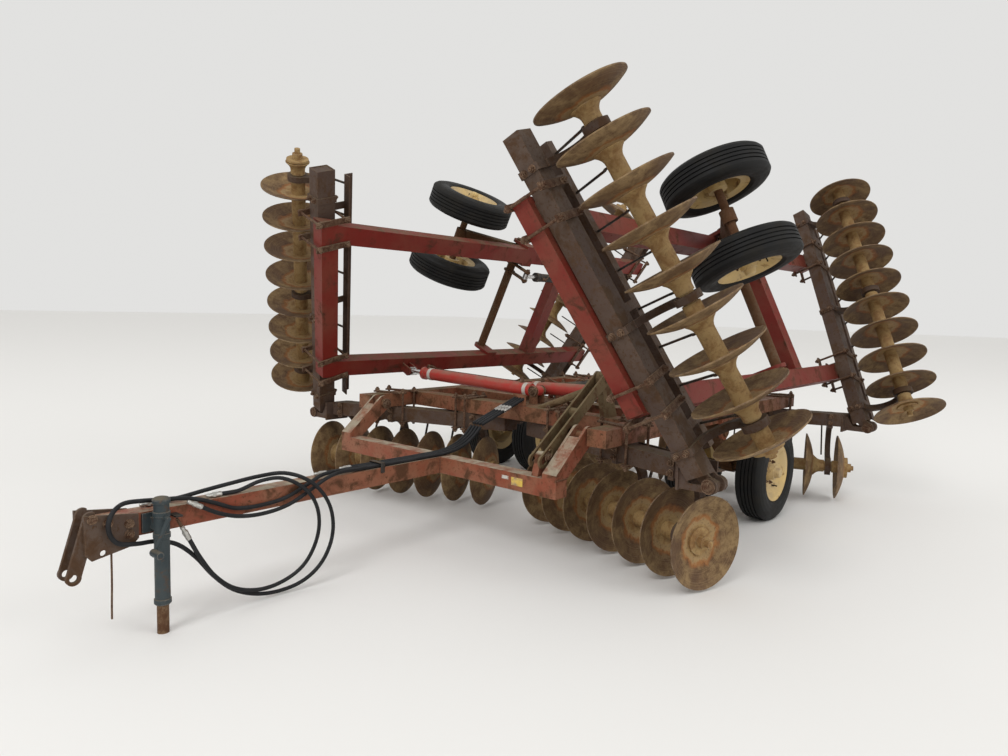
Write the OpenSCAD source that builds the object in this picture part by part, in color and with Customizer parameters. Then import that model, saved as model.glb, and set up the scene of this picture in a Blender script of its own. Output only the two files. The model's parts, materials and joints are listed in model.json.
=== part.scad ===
// A wing-fold tandem disc harrow, parked on its centre wheels and drawbar jack with both wings folded.
// X is across, Y runs from the hitch to the rear, Z is up, and the ground is at zero.
// Pieces beyond the fold hinges are drawn with the wing flat and then turned up about the hinge.

/* [Frame] */
// Height of the frame's top face above the ground
frame_top = 800; // [780:5:830]
// Depth of a frame tube
tube_h = 100; // [90:1:104]
// Width of a frame tube
tube_w = 127; // [110:1:135]
// Distance of each centre rail's middle from the centre plane
rail_x = 1015; // [1000:1:1030]
// Front end of the centre rails, behind the drawbar's cross tube
rail_front_y = 260; // [240:1:270]
// Rear end of the centre rails
rail_rear_y = 3150; // [3020:5:3250]
// Front face of the front cross tube
front_tube_y = 690; // [680:1:700]
// Front face of the middle cross tube
mid_tube_y = 1150; // [1140:1:1160]
// Front face of the rear cross tube
rear_tube_y = 2620; // [2610:1:2630]

/* [Wings] */
// Distance of each fold hinge from the centre plane
hinge_x = 1680; // [1670:1:1690]
// Height of the fold hinge above the beam's underside
hinge_rise = 5; // [3:1:8]
// Angle through which a wing folds
fold_angle = 115.3; // [112:0.1:118]
// Middle of the wing's inner rail, out from the hinge
wing_inner_u = 513; // [505:1:520]
// Middle of the wing's outer rail, out from the hinge
wing_outer_u = 1550; // [1540:1:1560]
// Front face of the wing's rear cross tube
wing_rear_tube_y = 2400; // [2390:1:2410]

/* [Gang beams] */
// Height of a gang beam
beam_h = 100; // [90:1:105]
// Width of a gang beam
beam_w = 130; // [120:1:134]
// Thickness of the saddles between the beams and the frame
saddle_t = 10; // [10:1:14]
// Sweep of the front gangs
front_angle = 17.5; // [16.5:0.1:18]
// Sweep of the rear gangs
rear_angle = 20; // [19.5:0.1:20.5]
// Place of the front gangs' axis at the fold hinge
front_gang_y = 385; // [375:1:395]
// Place of the rear gangs' axis at the fold hinge
rear_gang_y = 3083; // [3075:1:3095]
// Distance of the front beam's middle ahead of the gang's axis
front_beam_lead = 37; // [32:1:42]
// Distance of the rear beam's middle behind the gang's axis
rear_beam_lag = 71; // [66:1:76]
// Inner end of the centre beams from the centre plane
beam_inner_x = 100; // [90:1:110]
// Outer end of the wing's front beam along the beam
wing_front_beam_end = 2030; // [2010:1:2050]
// Outer end of the wing's rear beam along the beam
wing_rear_beam_end = 2160; // [2140:1:2180]

/* [Disc gangs] */
// Radius of a worn disc blade
disc_r = 250; // [240:1:255]
// Thickness of a blade
disc_t = 7; // [5:0.5:9]
// Depth of a blade's dish
dish = 60; // [50:1:68]
// Spacing of the blades along the gang
pitch = 229; // [225:1:232]
// Distance of the gang's axis below the beam
gang_drop = 325; // [315:1:330]
// Radius of a spool's neck
neck_r = 48; // [44:1:52]
// Radius of a spool's flared end
flare_r = 80; // [72:1:84]
// Radius of the bearing journal
journal_r = 40; // [36:1:42]
// Outside radius of a bearing housing
housing_r = 70; // [64:1:72]
// Width of a bearing housing
housing_w = 40; // [36:1:44]
// Distance of a bearing from the blade whose hollow faces it
bearing_offset = 118; // [112:1:124]

/* [Wheels] */
// Outside radius of a tyre
tyre_r = 345; // [340:1:348]
// Width of a tyre
tyre_w = 200; // [190:1:205]
// Radius of a rim
rim_r = 190; // [184:1:194]
// Spacing of the two wheels of a pair
pair_gap = 550; // [540:1:560]
// Radius of an axle
axle_r = 28; // [25:1:30]
// Place of the centre wheels' axle
centre_axle_y = 2050; // [2030:1:2055]
// Place of the centre rockshaft
centre_shaft_y = 1750; // [1740:1:1760]
// Height of the centre rockshaft
centre_shaft_z = 640; // [635:1:645]
// Place of the wing wheels' axle
wing_axle_y = 1410; // [1400:1:1420]
// Drop of the wing wheels' axle below the hinge
wing_axle_w = -195; // [-200:1:-190]
// How far in from the middle of the outer rail a wing's wheel pair is centred
wing_wheel_in = 20; // [15:1:25]
// Place of the wing rockshafts
wing_shaft_y = 1900; // [1890:1:1910]
// Height of the wing rockshafts above the hinge
wing_shaft_w = 50; // [46:1:50]
// Radius of a rockshaft
shaft_r = 36; // [32:1:38]

/* [Drawbar] */
// Half the length of the drawbar's cross tube
cross_half = 940; // [935:1:944]
// Side of the drawbar's tubes
bar_tube = 100; // [95:1:105]
// Underside of the drawbar
bar_bottom = 435; // [430:1:440]
// Length of the tongue ahead of the cross tube
tongue_len = 1980; // [1960:5:2000]
// Place of the drawbar's pivot
pivot_y = 300; // [295:1:305]
// Height of the drawbar's pivot
pivot_z = 750; // [745:1:755]
// Radius of the drawbar's pivot pins
pivot_r = 22; // [20:1:24]
// Distance of the levelling link in from the end of the drawbar's cross tube
link_inset = 165; // [160:1:170]
// Place of the link's upper pin
mast_y = 660; // [655:1:665]
// Height of the link's upper pin
mast_z = 1050; // [1045:1:1055]
// Place of the link's lower pin
lug_y = 80; // [75:1:82]
// Height of the link's lower pin
lug_z = 640; // [635:1:645]
// Distance of the jack from the centre plane
jack_x = 113; // [110:1:116]
// Distance of the jack ahead of the cross tube
jack_lead = 1735; // [1700:5:1740]
// Radius of the jack's outer tube
jack_r = 32; // [30:1:34]

/* [Cylinders] */
// Radius of a fold cylinder
fold_r = 45; // [42:1:47]
// Radius of a fold cylinder's rod
fold_rod_r = 20; // [18:1:22]
// Distance of a fold cylinder's base pin past the centre plane
fold_base_x = 100; // [95:1:105]
// Height of the fold cylinders' base pins
fold_base_z = 890; // [886:1:895]
// Place of the left fold cylinder
fold_left_y = 1030; // [1025:1:1035]
// Place of the right fold cylinder
fold_right_y = 880; // [877:1:884]
// Fold lug's pin out from the hinge
fold_lug_u = 508; // [500:1:515]
// Fold lug's pin above the hinge
fold_lug_w = 291; // [288:1:300]
// Radius of a lift cylinder
lift_r = 36; // [33:1:38]
// Radius of a lift cylinder's rod
lift_rod_r = 16; // [14:1:18]

/* [Hidden] */
$fn = 64;

LEFT = 1;
RIGHT = -1;
RED = "indianred";
BROWN = "rosybrown";
RUST = "peru";
STEEL = "dimgray";

// Running clearance of a pin in its bore, and the gap between two curved faces that meet
run_gap = 0.05;
touch_gap = 0.3;
// Side clearance between the leaves of a hinge, and the depth to which a welded piece runs into the next
leaf_gap = 3;
weld = 5;
// Step by which a welded plate's edge stays short of the tube's face
edge_step = 3;

tube_bottom = frame_top - tube_h;
beam_top = tube_bottom - saddle_t;
beam_bottom = beam_top - beam_h;
hinge_z = beam_bottom + hinge_rise;
gang_z = beam_bottom - gang_drop;

// The same levels, counted from the hinge as the wing's own heights
tube_bottom_w = tube_bottom - hinge_z;
tube_top_w = frame_top - hinge_z;
beam_bottom_w = beam_bottom - hinge_z;
gang_w = gang_z - hinge_z;

rail_inner_x = rail_x - tube_w / 2;
rail_outer_x = rail_x + tube_w / 2;

// Turn of each row of gangs in plan, and the offset of its beam from the gang's axis
front_turn = -front_angle;
front_shift = -front_beam_lead;
rear_shift = rear_beam_lag;

function turn_of(rear) = rear ? rear_angle : front_turn;
function shift_of(rear) = rear ? rear_shift : front_shift;
function axis_y_of(rear) = rear ? rear_gang_y : front_gang_y;

// Distance along a gang line at which a line p behind it lies u out from the hinge
function along(rear, u, p = 0) = (u + p * sin(turn_of(rear))) / cos(turn_of(rear));

// Place in Y of a line p behind a gang line, u out from the hinge
function line_y(rear, u, p = 0) = axis_y_of(rear) + u * tan(turn_of(rear)) + p / cos(turn_of(rear));

// The hitch straps at the front and the wings' rear scraper bars at the back set the origin in Y
bar_top = bar_bottom + bar_tube;
hitch_front_y = -tongue_len - 115;
wing_wheel_u = wing_outer_u - wing_wheel_in;
link_x = cross_half - link_inset;
wing_rear_count = 10;
wing_front_count = 9;
centre_count = 7;
front_first = pitch / 2;
rear_first = 83;
bar_leg = 60;
bar_t = 8;
front_bar_p = 148;
rear_bar_p = 256;
bar_end = 70;
machine_rear_y = rear_gang_y + (wing_rear_beam_end - bar_end) * sin(rear_angle) + (rear_bar_p + bar_leg) * cos(rear_angle);
origin_y = (hitch_front_y + machine_rear_y) / 2;

// Blades bend to this radius
dish_r = (disc_r * disc_r + dish * dish) / (2 * dish);
function dish_at(r) = dish_r - sqrt(dish_r * dish_r - r * r);
dish_steps = [0 : 8];

// Gang table: a wing's gang or the centre's, rear or front, side, blades, bare outer station, gaps with a bearing
GANG_WING = 0;
GANG_REAR = 1;
GANG_SIDE = 2;
GANG_COUNT = 3;
GANG_BARE = 4;
GANG_BEARINGS = 5;
centre_bearings = [0, 3, 5];
GANGS = [
    [false, false, LEFT, centre_count, false, centre_bearings],
    [false, false, RIGHT, centre_count, false, centre_bearings],
    [false, true, LEFT, centre_count, false, centre_bearings],
    [false, true, RIGHT, centre_count, false, centre_bearings],
    [true, false, LEFT, wing_front_count, false, [0, 3, 7]],
    [true, false, RIGHT, wing_front_count, true, [0, 3, 7]],
    [true, true, LEFT, wing_rear_count, false, [0, 4, 8]],
    [true, true, RIGHT, wing_rear_count, false, [0, 4, 8]]
];

// Place of a gang's innermost blade along its line
function first_of(wing, rear, count) =
    wing ? (rear ? rear_first : front_first)
         : (rear ? rear_first : front_first) - count * pitch;

// Place of a bearing in the gap after blade i, next to the blade whose hollow faces it
function bearing_of(g, i) =
    first_of(g[GANG_WING], g[GANG_REAR], g[GANG_COUNT])
    + (g[GANG_REAR] ? (i + 1) * pitch - bearing_offset : i * pitch + bearing_offset);

// Puts a piece drawn from the hinge outwards on the centre or on a folded wing of either side
module station(wing, side) {
    mirror([side == RIGHT ? 1 : 0, 0, 0])
        translate([hinge_x, 0, hinge_z])
            rotate([0, wing ? -fold_angle : 0, 0])
                children();
}

// Turns a piece to a gang line: X along the line outwards, Y behind it, Z above it
module gang_line(rear) {
    translate([0, axis_y_of(rear), gang_w])
        rotate([0, 0, turn_of(rear)])
            children();
}

// Box between two corners
module box(low, high) {
    translate(low) cube(high - low);
}

// Round bar between two points
module rod(from, to, r) {
    run = to - from;
    reach = norm(run);
    translate(from)
        rotate([0, acos(run[2] / reach), atan2(run[1], run[0])])
            cylinder(h = reach, r = r);
}

// Plate drawn in Y and Z, standing across X from x0 to x1
module side_plate(x0, x1) {
    translate([x0, 0, 0])
        rotate([90, 0, 90])
            linear_extrude(height = x1 - x0)
                children();
}

// Plate drawn in X and Z, standing across Y from y0 to y1
module cross_plate(y0, y1) {
    translate([0, y1, 0])
        rotate([90, 0, 0])
            linear_extrude(height = y1 - y0)
                children();
}

// Pin or boss along X or along Y
module x_pin(x0, x1, y, z, r) {
    translate([x0, y, z]) rotate([0, 90, 0]) cylinder(h = x1 - x0, r = r);
}
module y_pin(y0, y1, x, z, r) {
    translate([x, y1, z]) rotate([90, 0, 0]) cylinder(h = y1 - y0, r = r);
}

// Flat link between two round ends, drawn in the plane and a little narrower than its ends
link_waist = 0.94;
module link_outline(from, to, r) {
    run = to - from;
    side_step = [-run[1], run[0]] * r * link_waist / norm(run);
    polygon([from - side_step, to - side_step, to + side_step, from + side_step]);
    translate(from) circle(r = r);
    translate(to) circle(r = r);
}

// Gang beams

// Beam along a gang line, its inner or hinge ends square to X and its free end square to the beam
module beam(rear, u0, u1, end_along) {
    p0 = shift_of(rear) - beam_w / 2;
    p1 = shift_of(rear) + beam_w / 2;
    far0 = is_undef(end_along) ? along(rear, u1, p0) : end_along;
    far1 = is_undef(end_along) ? along(rear, u1, p1) : end_along;
    gang_line(rear)
        translate([0, 0, gang_drop])
            linear_extrude(height = beam_h)
                polygon([[along(rear, u0, p0), p0], [far0, p0], [far1, p1], [along(rear, u0, p1), p1]]);
}

// Saddle on top of a beam below a rail or a cross tube
saddle_len = 110;
module saddle(rear, u) {
    gang_line(rear)
        translate([along(rear, u, shift_of(rear)) - saddle_len / 2, shift_of(rear) - beam_w / 2 + edge_step, gang_drop + beam_h - weld])
            cube([saddle_len, beam_w - 2 * edge_step, saddle_t + weld]);
}

// Scraper bar, an angle iron behind the beam on cleats
bar_rise = 20;
function bar_p_of(rear) = rear ? rear_bar_p : front_bar_p;
cleat_w = 50;
cleat_gap = 90;
bar_inner_x = 160;
front_bar_gap = 90;
rear_bar_gap = 330;
wing_bar_start = 150;
module scraper_bar(rear, a0, a1, g) {
    beam_back = shift_of(rear) + beam_w / 2;
    bar_p = bar_p_of(rear);
    bar_z = gang_drop + bar_rise;
    gang_line(rear) {
        box([a0, bar_p, bar_z], [a1, bar_p + bar_leg, bar_z + bar_t]);
        box([a0, bar_p, bar_z], [a1, bar_p + bar_t, bar_z + bar_leg]);
        for (k = [0 : len(g[GANG_BEARINGS]) - 1]) {
            a = bearing_of(g, g[GANG_BEARINGS][k]) + (k == len(g[GANG_BEARINGS]) - 1 ? -cleat_gap : cleat_gap);
            box([a - cleat_w / 2, beam_back - weld, bar_z], [a + cleat_w / 2, bar_p + bar_t, bar_z + bar_t]);
        }
    }
}

// Fold hinge: the centre's outer leaves carry the pin, the wing's leaves swing between them
leaf_t = 16;
leaf_r = 42;
inner_leaf_y = 30;
outer_leaf_y = inner_leaf_y + leaf_t + leaf_gap;
hinge_pin_r = 22;
hinge_root = 165;
root_plate = 14;
wing_beam_u = 60;
function hinge_y(rear) = line_y(rear, 0, shift_of(rear));

module centre_leaves(rear) {
    y_h = hinge_y(rear);
    root_y = line_y(rear, -hinge_root, shift_of(rear));
    for (s = [-1, 1]) {
        y_in = y_h + s * outer_leaf_y;
        y_out = y_in + s * leaf_t;
        cross_plate(min(y_in, y_out), max(y_in, y_out)) {
            polygon([[-hinge_root - weld, 6 - leaf_r], [0, 6 - leaf_r], [0, 0], [-110, 0], [-126, 20], [-152, 68], [-hinge_root - weld, 68]]);
            circle(r = leaf_r);
        }
    }
    box([-hinge_root - root_plate, min(root_y, y_h) - 75, -45], [-hinge_root, max(root_y, y_h) + 75, tube_bottom_w - saddle_t - edge_step]);
    y_pin(y_h - outer_leaf_y - leaf_t - 8, y_h + outer_leaf_y + leaf_t + 8, 0, 0, hinge_pin_r);
}

module wing_leaves(rear) {
    y_h = hinge_y(rear);
    for (s = [-1, 1]) {
        y_in = y_h + s * inner_leaf_y;
        y_out = y_in + s * leaf_t;
        difference() {
            cross_plate(min(y_in, y_out), max(y_in, y_out)) {
                circle(r = leaf_r);
                polygon([[0, 4 - leaf_r], [wing_beam_u + weld, beam_bottom_w], [wing_beam_u + weld, 60], [0, leaf_r - 4]]);
            }
            y_pin(y_h - 100, y_h + 100, 0, 0, hinge_pin_r + run_gap);
        }
    }
}

module centre_beams(rear, saddles) {
    color(BROWN)
        for (side = [LEFT, RIGHT])
            station(false, side) {
                beam(rear, beam_inner_x - hinge_x, -hinge_root - root_plate + weld);
                centre_leaves(rear);
                for (x = saddles)
                    saddle(rear, x - hinge_x);
                a0 = along(rear, bar_inner_x - hinge_x, bar_p_of(rear));
                a1 = along(rear, rear ? -rear_bar_gap : -front_bar_gap, bar_p_of(rear));
                scraper_bar(rear, a0, a1, GANGS[rear ? 2 : 0]);
            }
}

module centre_front_beams() {
    centre_beams(false, [rail_x, 420]);
}

module centre_rear_beams() {
    centre_beams(true, [rail_x, 210]);
}

module wing_beams(side) {
    color(BROWN)
        station(true, side)
            for (rear = [false, true]) {
                beam_end = rear ? wing_rear_beam_end : wing_front_beam_end;
                beam(rear, wing_beam_u, 0, beam_end);
                wing_leaves(rear);
                for (u = [wing_inner_u, wing_outer_u])
                    saddle(rear, u);
                scraper_bar(rear, wing_bar_start, beam_end - bar_end, GANGS[rear ? 6 : 4]);
            }
}

// Bearing hangers: a foot and straps round the beam, a bowed shank and a housing round the journal
foot_t = 15;
strap_t = 8;
shank_band = 46;
module hanger_outline(rear, top_strap) {
    p_b = shift_of(rear);
    bow_r = (gang_drop - 45) / 2;
    difference() {
        union() {
            circle(r = housing_r);
            intersection() {
                translate([p_b / 2, 45 + bow_r])
                    difference() {
                        circle(r = bow_r + shank_band / 2);
                        circle(r = bow_r - shank_band / 2);
                    }
                translate([p_b / 2, 0]) square([400, gang_drop]);
            }
            translate([p_b - beam_w / 2 - strap_t, gang_drop - foot_t])
                square([beam_w + 2 * strap_t, foot_t]);
        }
        circle(r = journal_r + run_gap);
    }
    for (p = [p_b - beam_w / 2 - strap_t, p_b + beam_w / 2])
        translate([p, gang_drop - foot_t]) square([strap_t, beam_h + foot_t]);
    if (top_strap)
        translate([p_b - beam_w / 2 - strap_t, gang_drop + beam_h - weld])
            difference() {
                square([beam_w + 2 * strap_t, strap_t + weld]);
                translate([strap_t, 0]) square([beam_w, weld]);
            }
}

module hangers_of(g) {
    station(g[GANG_WING], g[GANG_SIDE])
        gang_line(g[GANG_REAR])
            for (i = g[GANG_BEARINGS])
                side_plate(bearing_of(g, i) - housing_w / 2, bearing_of(g, i) + housing_w / 2)
                    hanger_outline(g[GANG_REAR], g[GANG_WING]);
}

module hangers(wing, side) {
    color(BROWN)
        for (g = GANGS)
            if (g[GANG_WING] == wing && (side == 0 || g[GANG_SIDE] == side))
                hangers_of(g);
}

// Scrapers: a bent bar from below the angle iron down to each spool
scraper_w = 12;
scraper_place = 168;
scraper_elbow = [92, 112];
scraper_tip = [58, 84];
module scrapers_of(g) {
    rear = g[GANG_REAR];
    count = g[GANG_COUNT];
    first = first_of(g[GANG_WING], rear, count);
    toward = rear ? -1 : 1;
    top = [bar_p_of(rear) + bar_leg / 2, gang_drop + bar_rise];
    station(g[GANG_WING], g[GANG_SIDE])
        gang_line(rear)
            for (i = [0 : count - 2]) {
                place = first + (rear ? i + 1 : i) * pitch + toward * scraper_place;
                side_plate(place - scraper_w / 2, place + scraper_w / 2)
                    polygon([
                        top - [scraper_w / 2, 0], top + [scraper_w / 2, 0],
                        scraper_elbow + [scraper_w / 2, 0], scraper_tip + [0, -scraper_w / 2],
                        scraper_tip + [-scraper_w / 2, scraper_w / 2], scraper_elbow + [-scraper_w / 2, scraper_w / 2]
                    ]);
            }
}

module scrapers(wing, side) {
    color(STEEL)
        for (g = GANGS)
            if (g[GANG_WING] == wing && (side == 0 || g[GANG_SIDE] == side))
                scrapers_of(g);
}

// Disc gangs: one turned outline of blades, flared spools, journals and end nuts
end_washer_r = 74;
end_washer_t = 14;
nut_r = 34;
nut_len = 36;
bolt_r = 19;
bolt_len = 34;

function blade_points(z, r0, r1) = concat(
    [for (k = dish_steps) let (r = r1 + (disc_r - r1) * k / 8) [r, z + dish_at(r) - disc_t]],
    [for (k = dish_steps) let (r = disc_r + (r0 - disc_r) * k / 8) [r, z + dish_at(r)]]
);

function spool_points(z, has_bearing) = concat(
    has_bearing ? [
        [neck_r, z + bearing_offset - housing_w / 2 - 8],
        [journal_r, z + bearing_offset - housing_w / 2 - 8],
        [journal_r, z + bearing_offset + housing_w / 2 + 8],
        [neck_r, z + bearing_offset + housing_w / 2 + 8]
    ] : [],
    [for (k = [0 : 4]) let (t = k / 4) [neck_r + (flare_r - neck_r) * pow(t, 2.2), z + pitch - 62 + t * (58 + dish_at(flare_r) - disc_t)]]
);

function gang_points(count, bare, bearings) = concat(
    [[0, -70], [bolt_r, -70], [bolt_r, -52], [nut_r, -52], [nut_r, -24], [flare_r, -24]],
    [for (i = [0 : count - 1], pt = concat(
        bare && i == count - 1 ? [[flare_r, i * pitch], [neck_r, i * pitch]] : blade_points(i * pitch, neck_r, flare_r),
        i < count - 1 ? spool_points(i * pitch, len(search(i, bearings)) > 0) : []
    )) pt],
    let (z = (count - 1) * pitch + dish_at(end_washer_r)) [
        [end_washer_r, z], [end_washer_r, z + end_washer_t], [nut_r, z + end_washer_t],
        [nut_r, z + end_washer_t + nut_len], [bolt_r, z + end_washer_t + nut_len],
        [bolt_r, z + end_washer_t + nut_len + bolt_len], [0, z + end_washer_t + nut_len + bolt_len]
    ]
);

module gang(g) {
    rear = g[GANG_REAR];
    count = g[GANG_COUNT];
    first = first_of(g[GANG_WING], rear, count);
    start = rear ? first + (count - 1) * pitch : first;
    bearings = rear ? [for (i = g[GANG_BEARINGS]) count - 2 - i] : g[GANG_BEARINGS];
    color(RUST)
        station(g[GANG_WING], g[GANG_SIDE])
            gang_line(rear)
                translate([start, 0, 0])
                    rotate([0, rear ? -90 : 90, 0])
                        rotate_extrude()
                            polygon(gang_points(count, g[GANG_BARE], bearings));
}

// Centre frame

bearing_plate_t = 25;
bearing_plate_w = 120;
fold_ear_t = 14;
eye_half = 28;
fold_pin_r = 18;
lift_pin_r = 14;
ear_gap = 3;
ear_r = 34;
ear_foot = ear_r * link_waist;

// Pair of ears and a pin along Y, standing on a face at z0
module y_ears(x, y, z, z0, pin) {
    for (s = [-1, 1]) {
        y_in = y + s * (eye_half + ear_gap);
        y_out = y_in + s * fold_ear_t;
        cross_plate(min(y_in, y_out), max(y_in, y_out))
            union() {
                translate([x, z]) circle(r = ear_r);
                translate([x - ear_foot, z0]) square([2 * ear_foot, z - z0]);
            }
    }
    if (pin)
        y_pin(y - eye_half - ear_gap - 22, y + eye_half + ear_gap + 22, x, z, fold_pin_r);
}

// Hanging plate that carries a rockshaft, on the side of a rail
module shaft_plate(x0, top, shaft_y, shaft_z) {
    difference() {
        side_plate(x0, x0 + bearing_plate_t) {
            translate([shaft_y - bearing_plate_w / 2, shaft_z]) square([bearing_plate_w, top - shaft_z]);
            translate([shaft_y, shaft_z]) circle(r = bearing_plate_w / 2);
        }
        x_pin(x0 - 1, x0 + bearing_plate_t + 1, shaft_y, shaft_z, shaft_r + run_gap);
    }
}

lift_base_y = mid_tube_y + 70;
lift_base_z = frame_top + 70;
lift_ear_t = 12;
lift_ear_r = 28;
lift_ear_foot = lift_ear_r * link_waist;
lift_pin_half = eye_half + lift_ear_t + 4;
bridge_half = 170;
bridge_t = 60;

module main_frame() {
    color(RED) {
        for (side = [-1, 1]) {
            box([side * rail_x - tube_w / 2, rail_front_y, tube_bottom], [side * rail_x + tube_w / 2, rail_rear_y, frame_top]);
            for (face = [rail_x - tube_w / 2 - bearing_plate_t, rail_x + tube_w / 2])
                mirror([side < 0 ? 1 : 0, 0, 0])
                    shaft_plate(face, frame_top, centre_shaft_y, centre_shaft_z);
            mirror([side < 0 ? 1 : 0, 0, 0]) {
                x_pin(cross_half - arm_w - 10, rail_inner_x, pivot_y, pivot_z, pivot_r);
                x_pin(cross_half - arm_w - 20, cross_half - arm_w - 10, pivot_y, pivot_z, pivot_r + 12);
            }
        }
        for (y = [front_tube_y, mid_tube_y, rear_tube_y])
            box([-rail_inner_x, y, tube_bottom], [rail_inner_x, y + tube_w, frame_top]);
        box([-bridge_half, front_tube_y + tube_w, frame_top - bridge_t], [bridge_half, mid_tube_y, frame_top]);
        y_ears(-fold_base_x, fold_left_y, fold_base_z, frame_top, true);
        y_ears(fold_base_x, fold_right_y, fold_base_z, frame_top, true);
        for (s = [-1, 1])
            side_plate(s > 0 ? eye_half : -eye_half - lift_ear_t, s > 0 ? eye_half + lift_ear_t : -eye_half) {
                translate([lift_base_y, lift_base_z]) circle(r = lift_ear_r);
                translate([lift_base_y - lift_ear_foot, frame_top]) square([2 * lift_ear_foot, lift_base_z - frame_top]);
            }
        x_pin(-lift_pin_half, lift_pin_half, lift_base_y, lift_base_z, lift_pin_r);
    }
}

// Mast that holds the levelling link, with its brace down the front cross tube
mast_half = 22;
link_t = 12;
link_gap = 6;
link_in = mast_half + link_gap;
link_pin_r = 16;
brace_x = 230;
module level_mast() {
    color(RUST) {
        side_plate(link_x - mast_half, link_x + mast_half) {
            polygon([[front_tube_y, frame_top], [front_tube_y + tube_w, frame_top], [mast_y + 38, mast_z + 10], [mast_y - 35, mast_z - 15]]);
            translate([mast_y, mast_z]) circle(r = 38);
        }
        x_pin(link_x - link_in - link_t - 8, link_x + link_in + link_t + 8, mast_y, mast_z, link_pin_r);
        difference() {
            rod([link_x, mast_y + 45, mast_z - 40], [brace_x, front_tube_y + tube_w / 2, frame_top - 10], 24);
            box([-link_x, 0, 0], [link_x, 2 * front_tube_y, frame_top]);
        }
    }
}

// Drawbar

arm_w = 95;
cheek_t = 16;
arm_eye = 55;

module tongue() {
    color(RED)
        box([-bar_tube / 2, -tongue_len, bar_bottom], [bar_tube / 2, 0, bar_top]);
}

module drawbar_arm() {
    difference() {
        union() {
            for (x = [cross_half - arm_w, cross_half - cheek_t])
                side_plate(x, x + cheek_t) {
                    polygon([[0, bar_top], [bar_tube, bar_top], [pivot_y + 36, pivot_z - 41], [pivot_y - 36, pivot_z + 41], [0, bar_top + 30]]);
                    translate([pivot_y, pivot_z]) circle(r = arm_eye);
                }
            side_plate(cross_half - arm_w, cross_half)
                polygon([[0, bar_top], [20, bar_top], [pivot_y - 70, pivot_z - 25], [pivot_y - 80, pivot_z], [0, bar_top + 30]]);
        }
        x_pin(cross_half - arm_w - 1, cross_half + 1, pivot_y, pivot_z, pivot_r + run_gap);
    }
}

module cross_tube() {
    color(RED) {
        box([-cross_half, 0, bar_bottom], [cross_half, bar_tube, bar_top]);
        for (side = [-1, 1])
            mirror([side < 0 ? 1 : 0, 0, 0])
                drawbar_arm();
        side_plate(link_x - mast_half, link_x + mast_half) {
            translate([lug_y, lug_z]) circle(r = 28);
            polygon([[lug_y - 60, bar_top], [bar_tube, bar_top], [lug_y + 28, lug_z], [lug_y - 28, lug_z]]);
        }
        x_pin(link_x - link_in - link_t - 10, link_x + link_in + link_t + 10, lug_y, lug_z, link_pin_r);
    }
}

// Hitch: side plates on the tongue's nose and two straps that hang from its front
hitch_plate_t = 14;
hitch_hole_z = 434;
strap_in = 34;
hitch_heel = 140;
hitch_pin_back = 25;
strap_top = [-tongue_len - 15, 545];
strap_foot = [-tongue_len - 85, 310];
hitch_bore_r = 16;
module hitch() {
    color(BROWN)
        for (s = [-1, 1])
            mirror([s < 0 ? 1 : 0, 0, 0]) {
                difference() {
                    side_plate(bar_tube / 2, bar_tube / 2 + hitch_plate_t)
                        translate([-tongue_len, 0])
                            polygon([[-45, 400], [-20, 370], [hitch_heel, 400], [hitch_heel + 30, 430],
                                     [hitch_heel + 30, 535], [-45, 565]]);
                    x_pin(0, bar_tube, -tongue_len + hitch_pin_back, 395, 13);
                }
                difference() {
                    side_plate(strap_in, bar_tube / 2)
                        link_outline(strap_top, strap_foot, 30);
                    x_pin(0, bar_tube, strap_foot[0], strap_foot[1], hitch_bore_r);
                    box([0, -tongue_len, 0], [bar_tube, 0, 900]);
                }
            }
}

// Jack on the tongue's left side: a bored outer tube with a clamp plate and a crank, and a plain leg
jack_y = -jack_lead;
jack_foot_z = 130;
jack_head_z = 580;
jack_leg_r = 25;
leg_top = 330;
module jack_tube() {
    color("slategray")
        difference() {
            union() {
                translate([jack_x, jack_y, jack_foot_z]) cylinder(h = jack_head_z - jack_foot_z, r = jack_r);
                translate([jack_x, jack_y, jack_head_z]) cylinder(h = 14, r = jack_r + 5);
                box([bar_tube / 2, jack_y - 60, bar_bottom + 10], [bar_tube / 2 + 12, jack_y + 60, bar_top - 5]);
                box([bar_tube / 2, jack_y - 25, bar_bottom + 25], [jack_x - 10, jack_y + 25, bar_top - 25]);
                x_pin(jack_x, jack_x + 71, jack_y, 520, 9);
                rod([jack_x + 62, jack_y, 520], [jack_x + 62, jack_y - 60, 385], 9);
                x_pin(jack_x + 50, jack_x + 120, jack_y - 60, 385, 15);
            }
            translate([jack_x, jack_y, jack_foot_z - 1]) cylinder(h = 430, r = jack_leg_r + run_gap);
        }
}

module jack_leg() {
    color(RUST)
        translate([jack_x, jack_y, 0]) cylinder(h = leg_top, r = jack_leg_r);
}

// Levelling link: two bars on the mast's pin, slotted round the drawbar's pin
slot_half = 30;
slot_r = link_pin_r + 8;
module level_link() {
    pins = [[mast_y, mast_z], [lug_y, lug_z]];
    run = (pins[1] - pins[0]) / norm(pins[1] - pins[0]);
    tip = pins[1] + run * (slot_half + 10);
    color(RUST) {
        for (x = [link_x - link_in - link_t, link_x + link_in])
            side_plate(x, x + link_t)
                difference() {
                    link_outline(pins[0], tip, 38);
                    translate(pins[0]) circle(r = link_pin_r + run_gap);
                    link_outline(pins[1] - run * slot_half, pins[1] + run * slot_half, slot_r);
                }
        mid = pins[0] + run * 330;
        x_pin(link_x - link_in - 1, link_x + link_in + 1, mid[0], mid[1], 26);
    }
}

// Wing frames

function fold_y_of(side) = side == LEFT ? fold_left_y : fold_right_y;
wing_lift_u = 1390;
wing_lift_base_y = wing_rear_tube_y + 62;
wing_lift_base_w = tube_top_w + 65;

// Front face of the wing's front cross tube, ahead of the beam below it
front_tube_lead = 40;
end_proud = 8;
front_tube_p = front_shift - beam_w / 2 - front_tube_lead;

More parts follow.
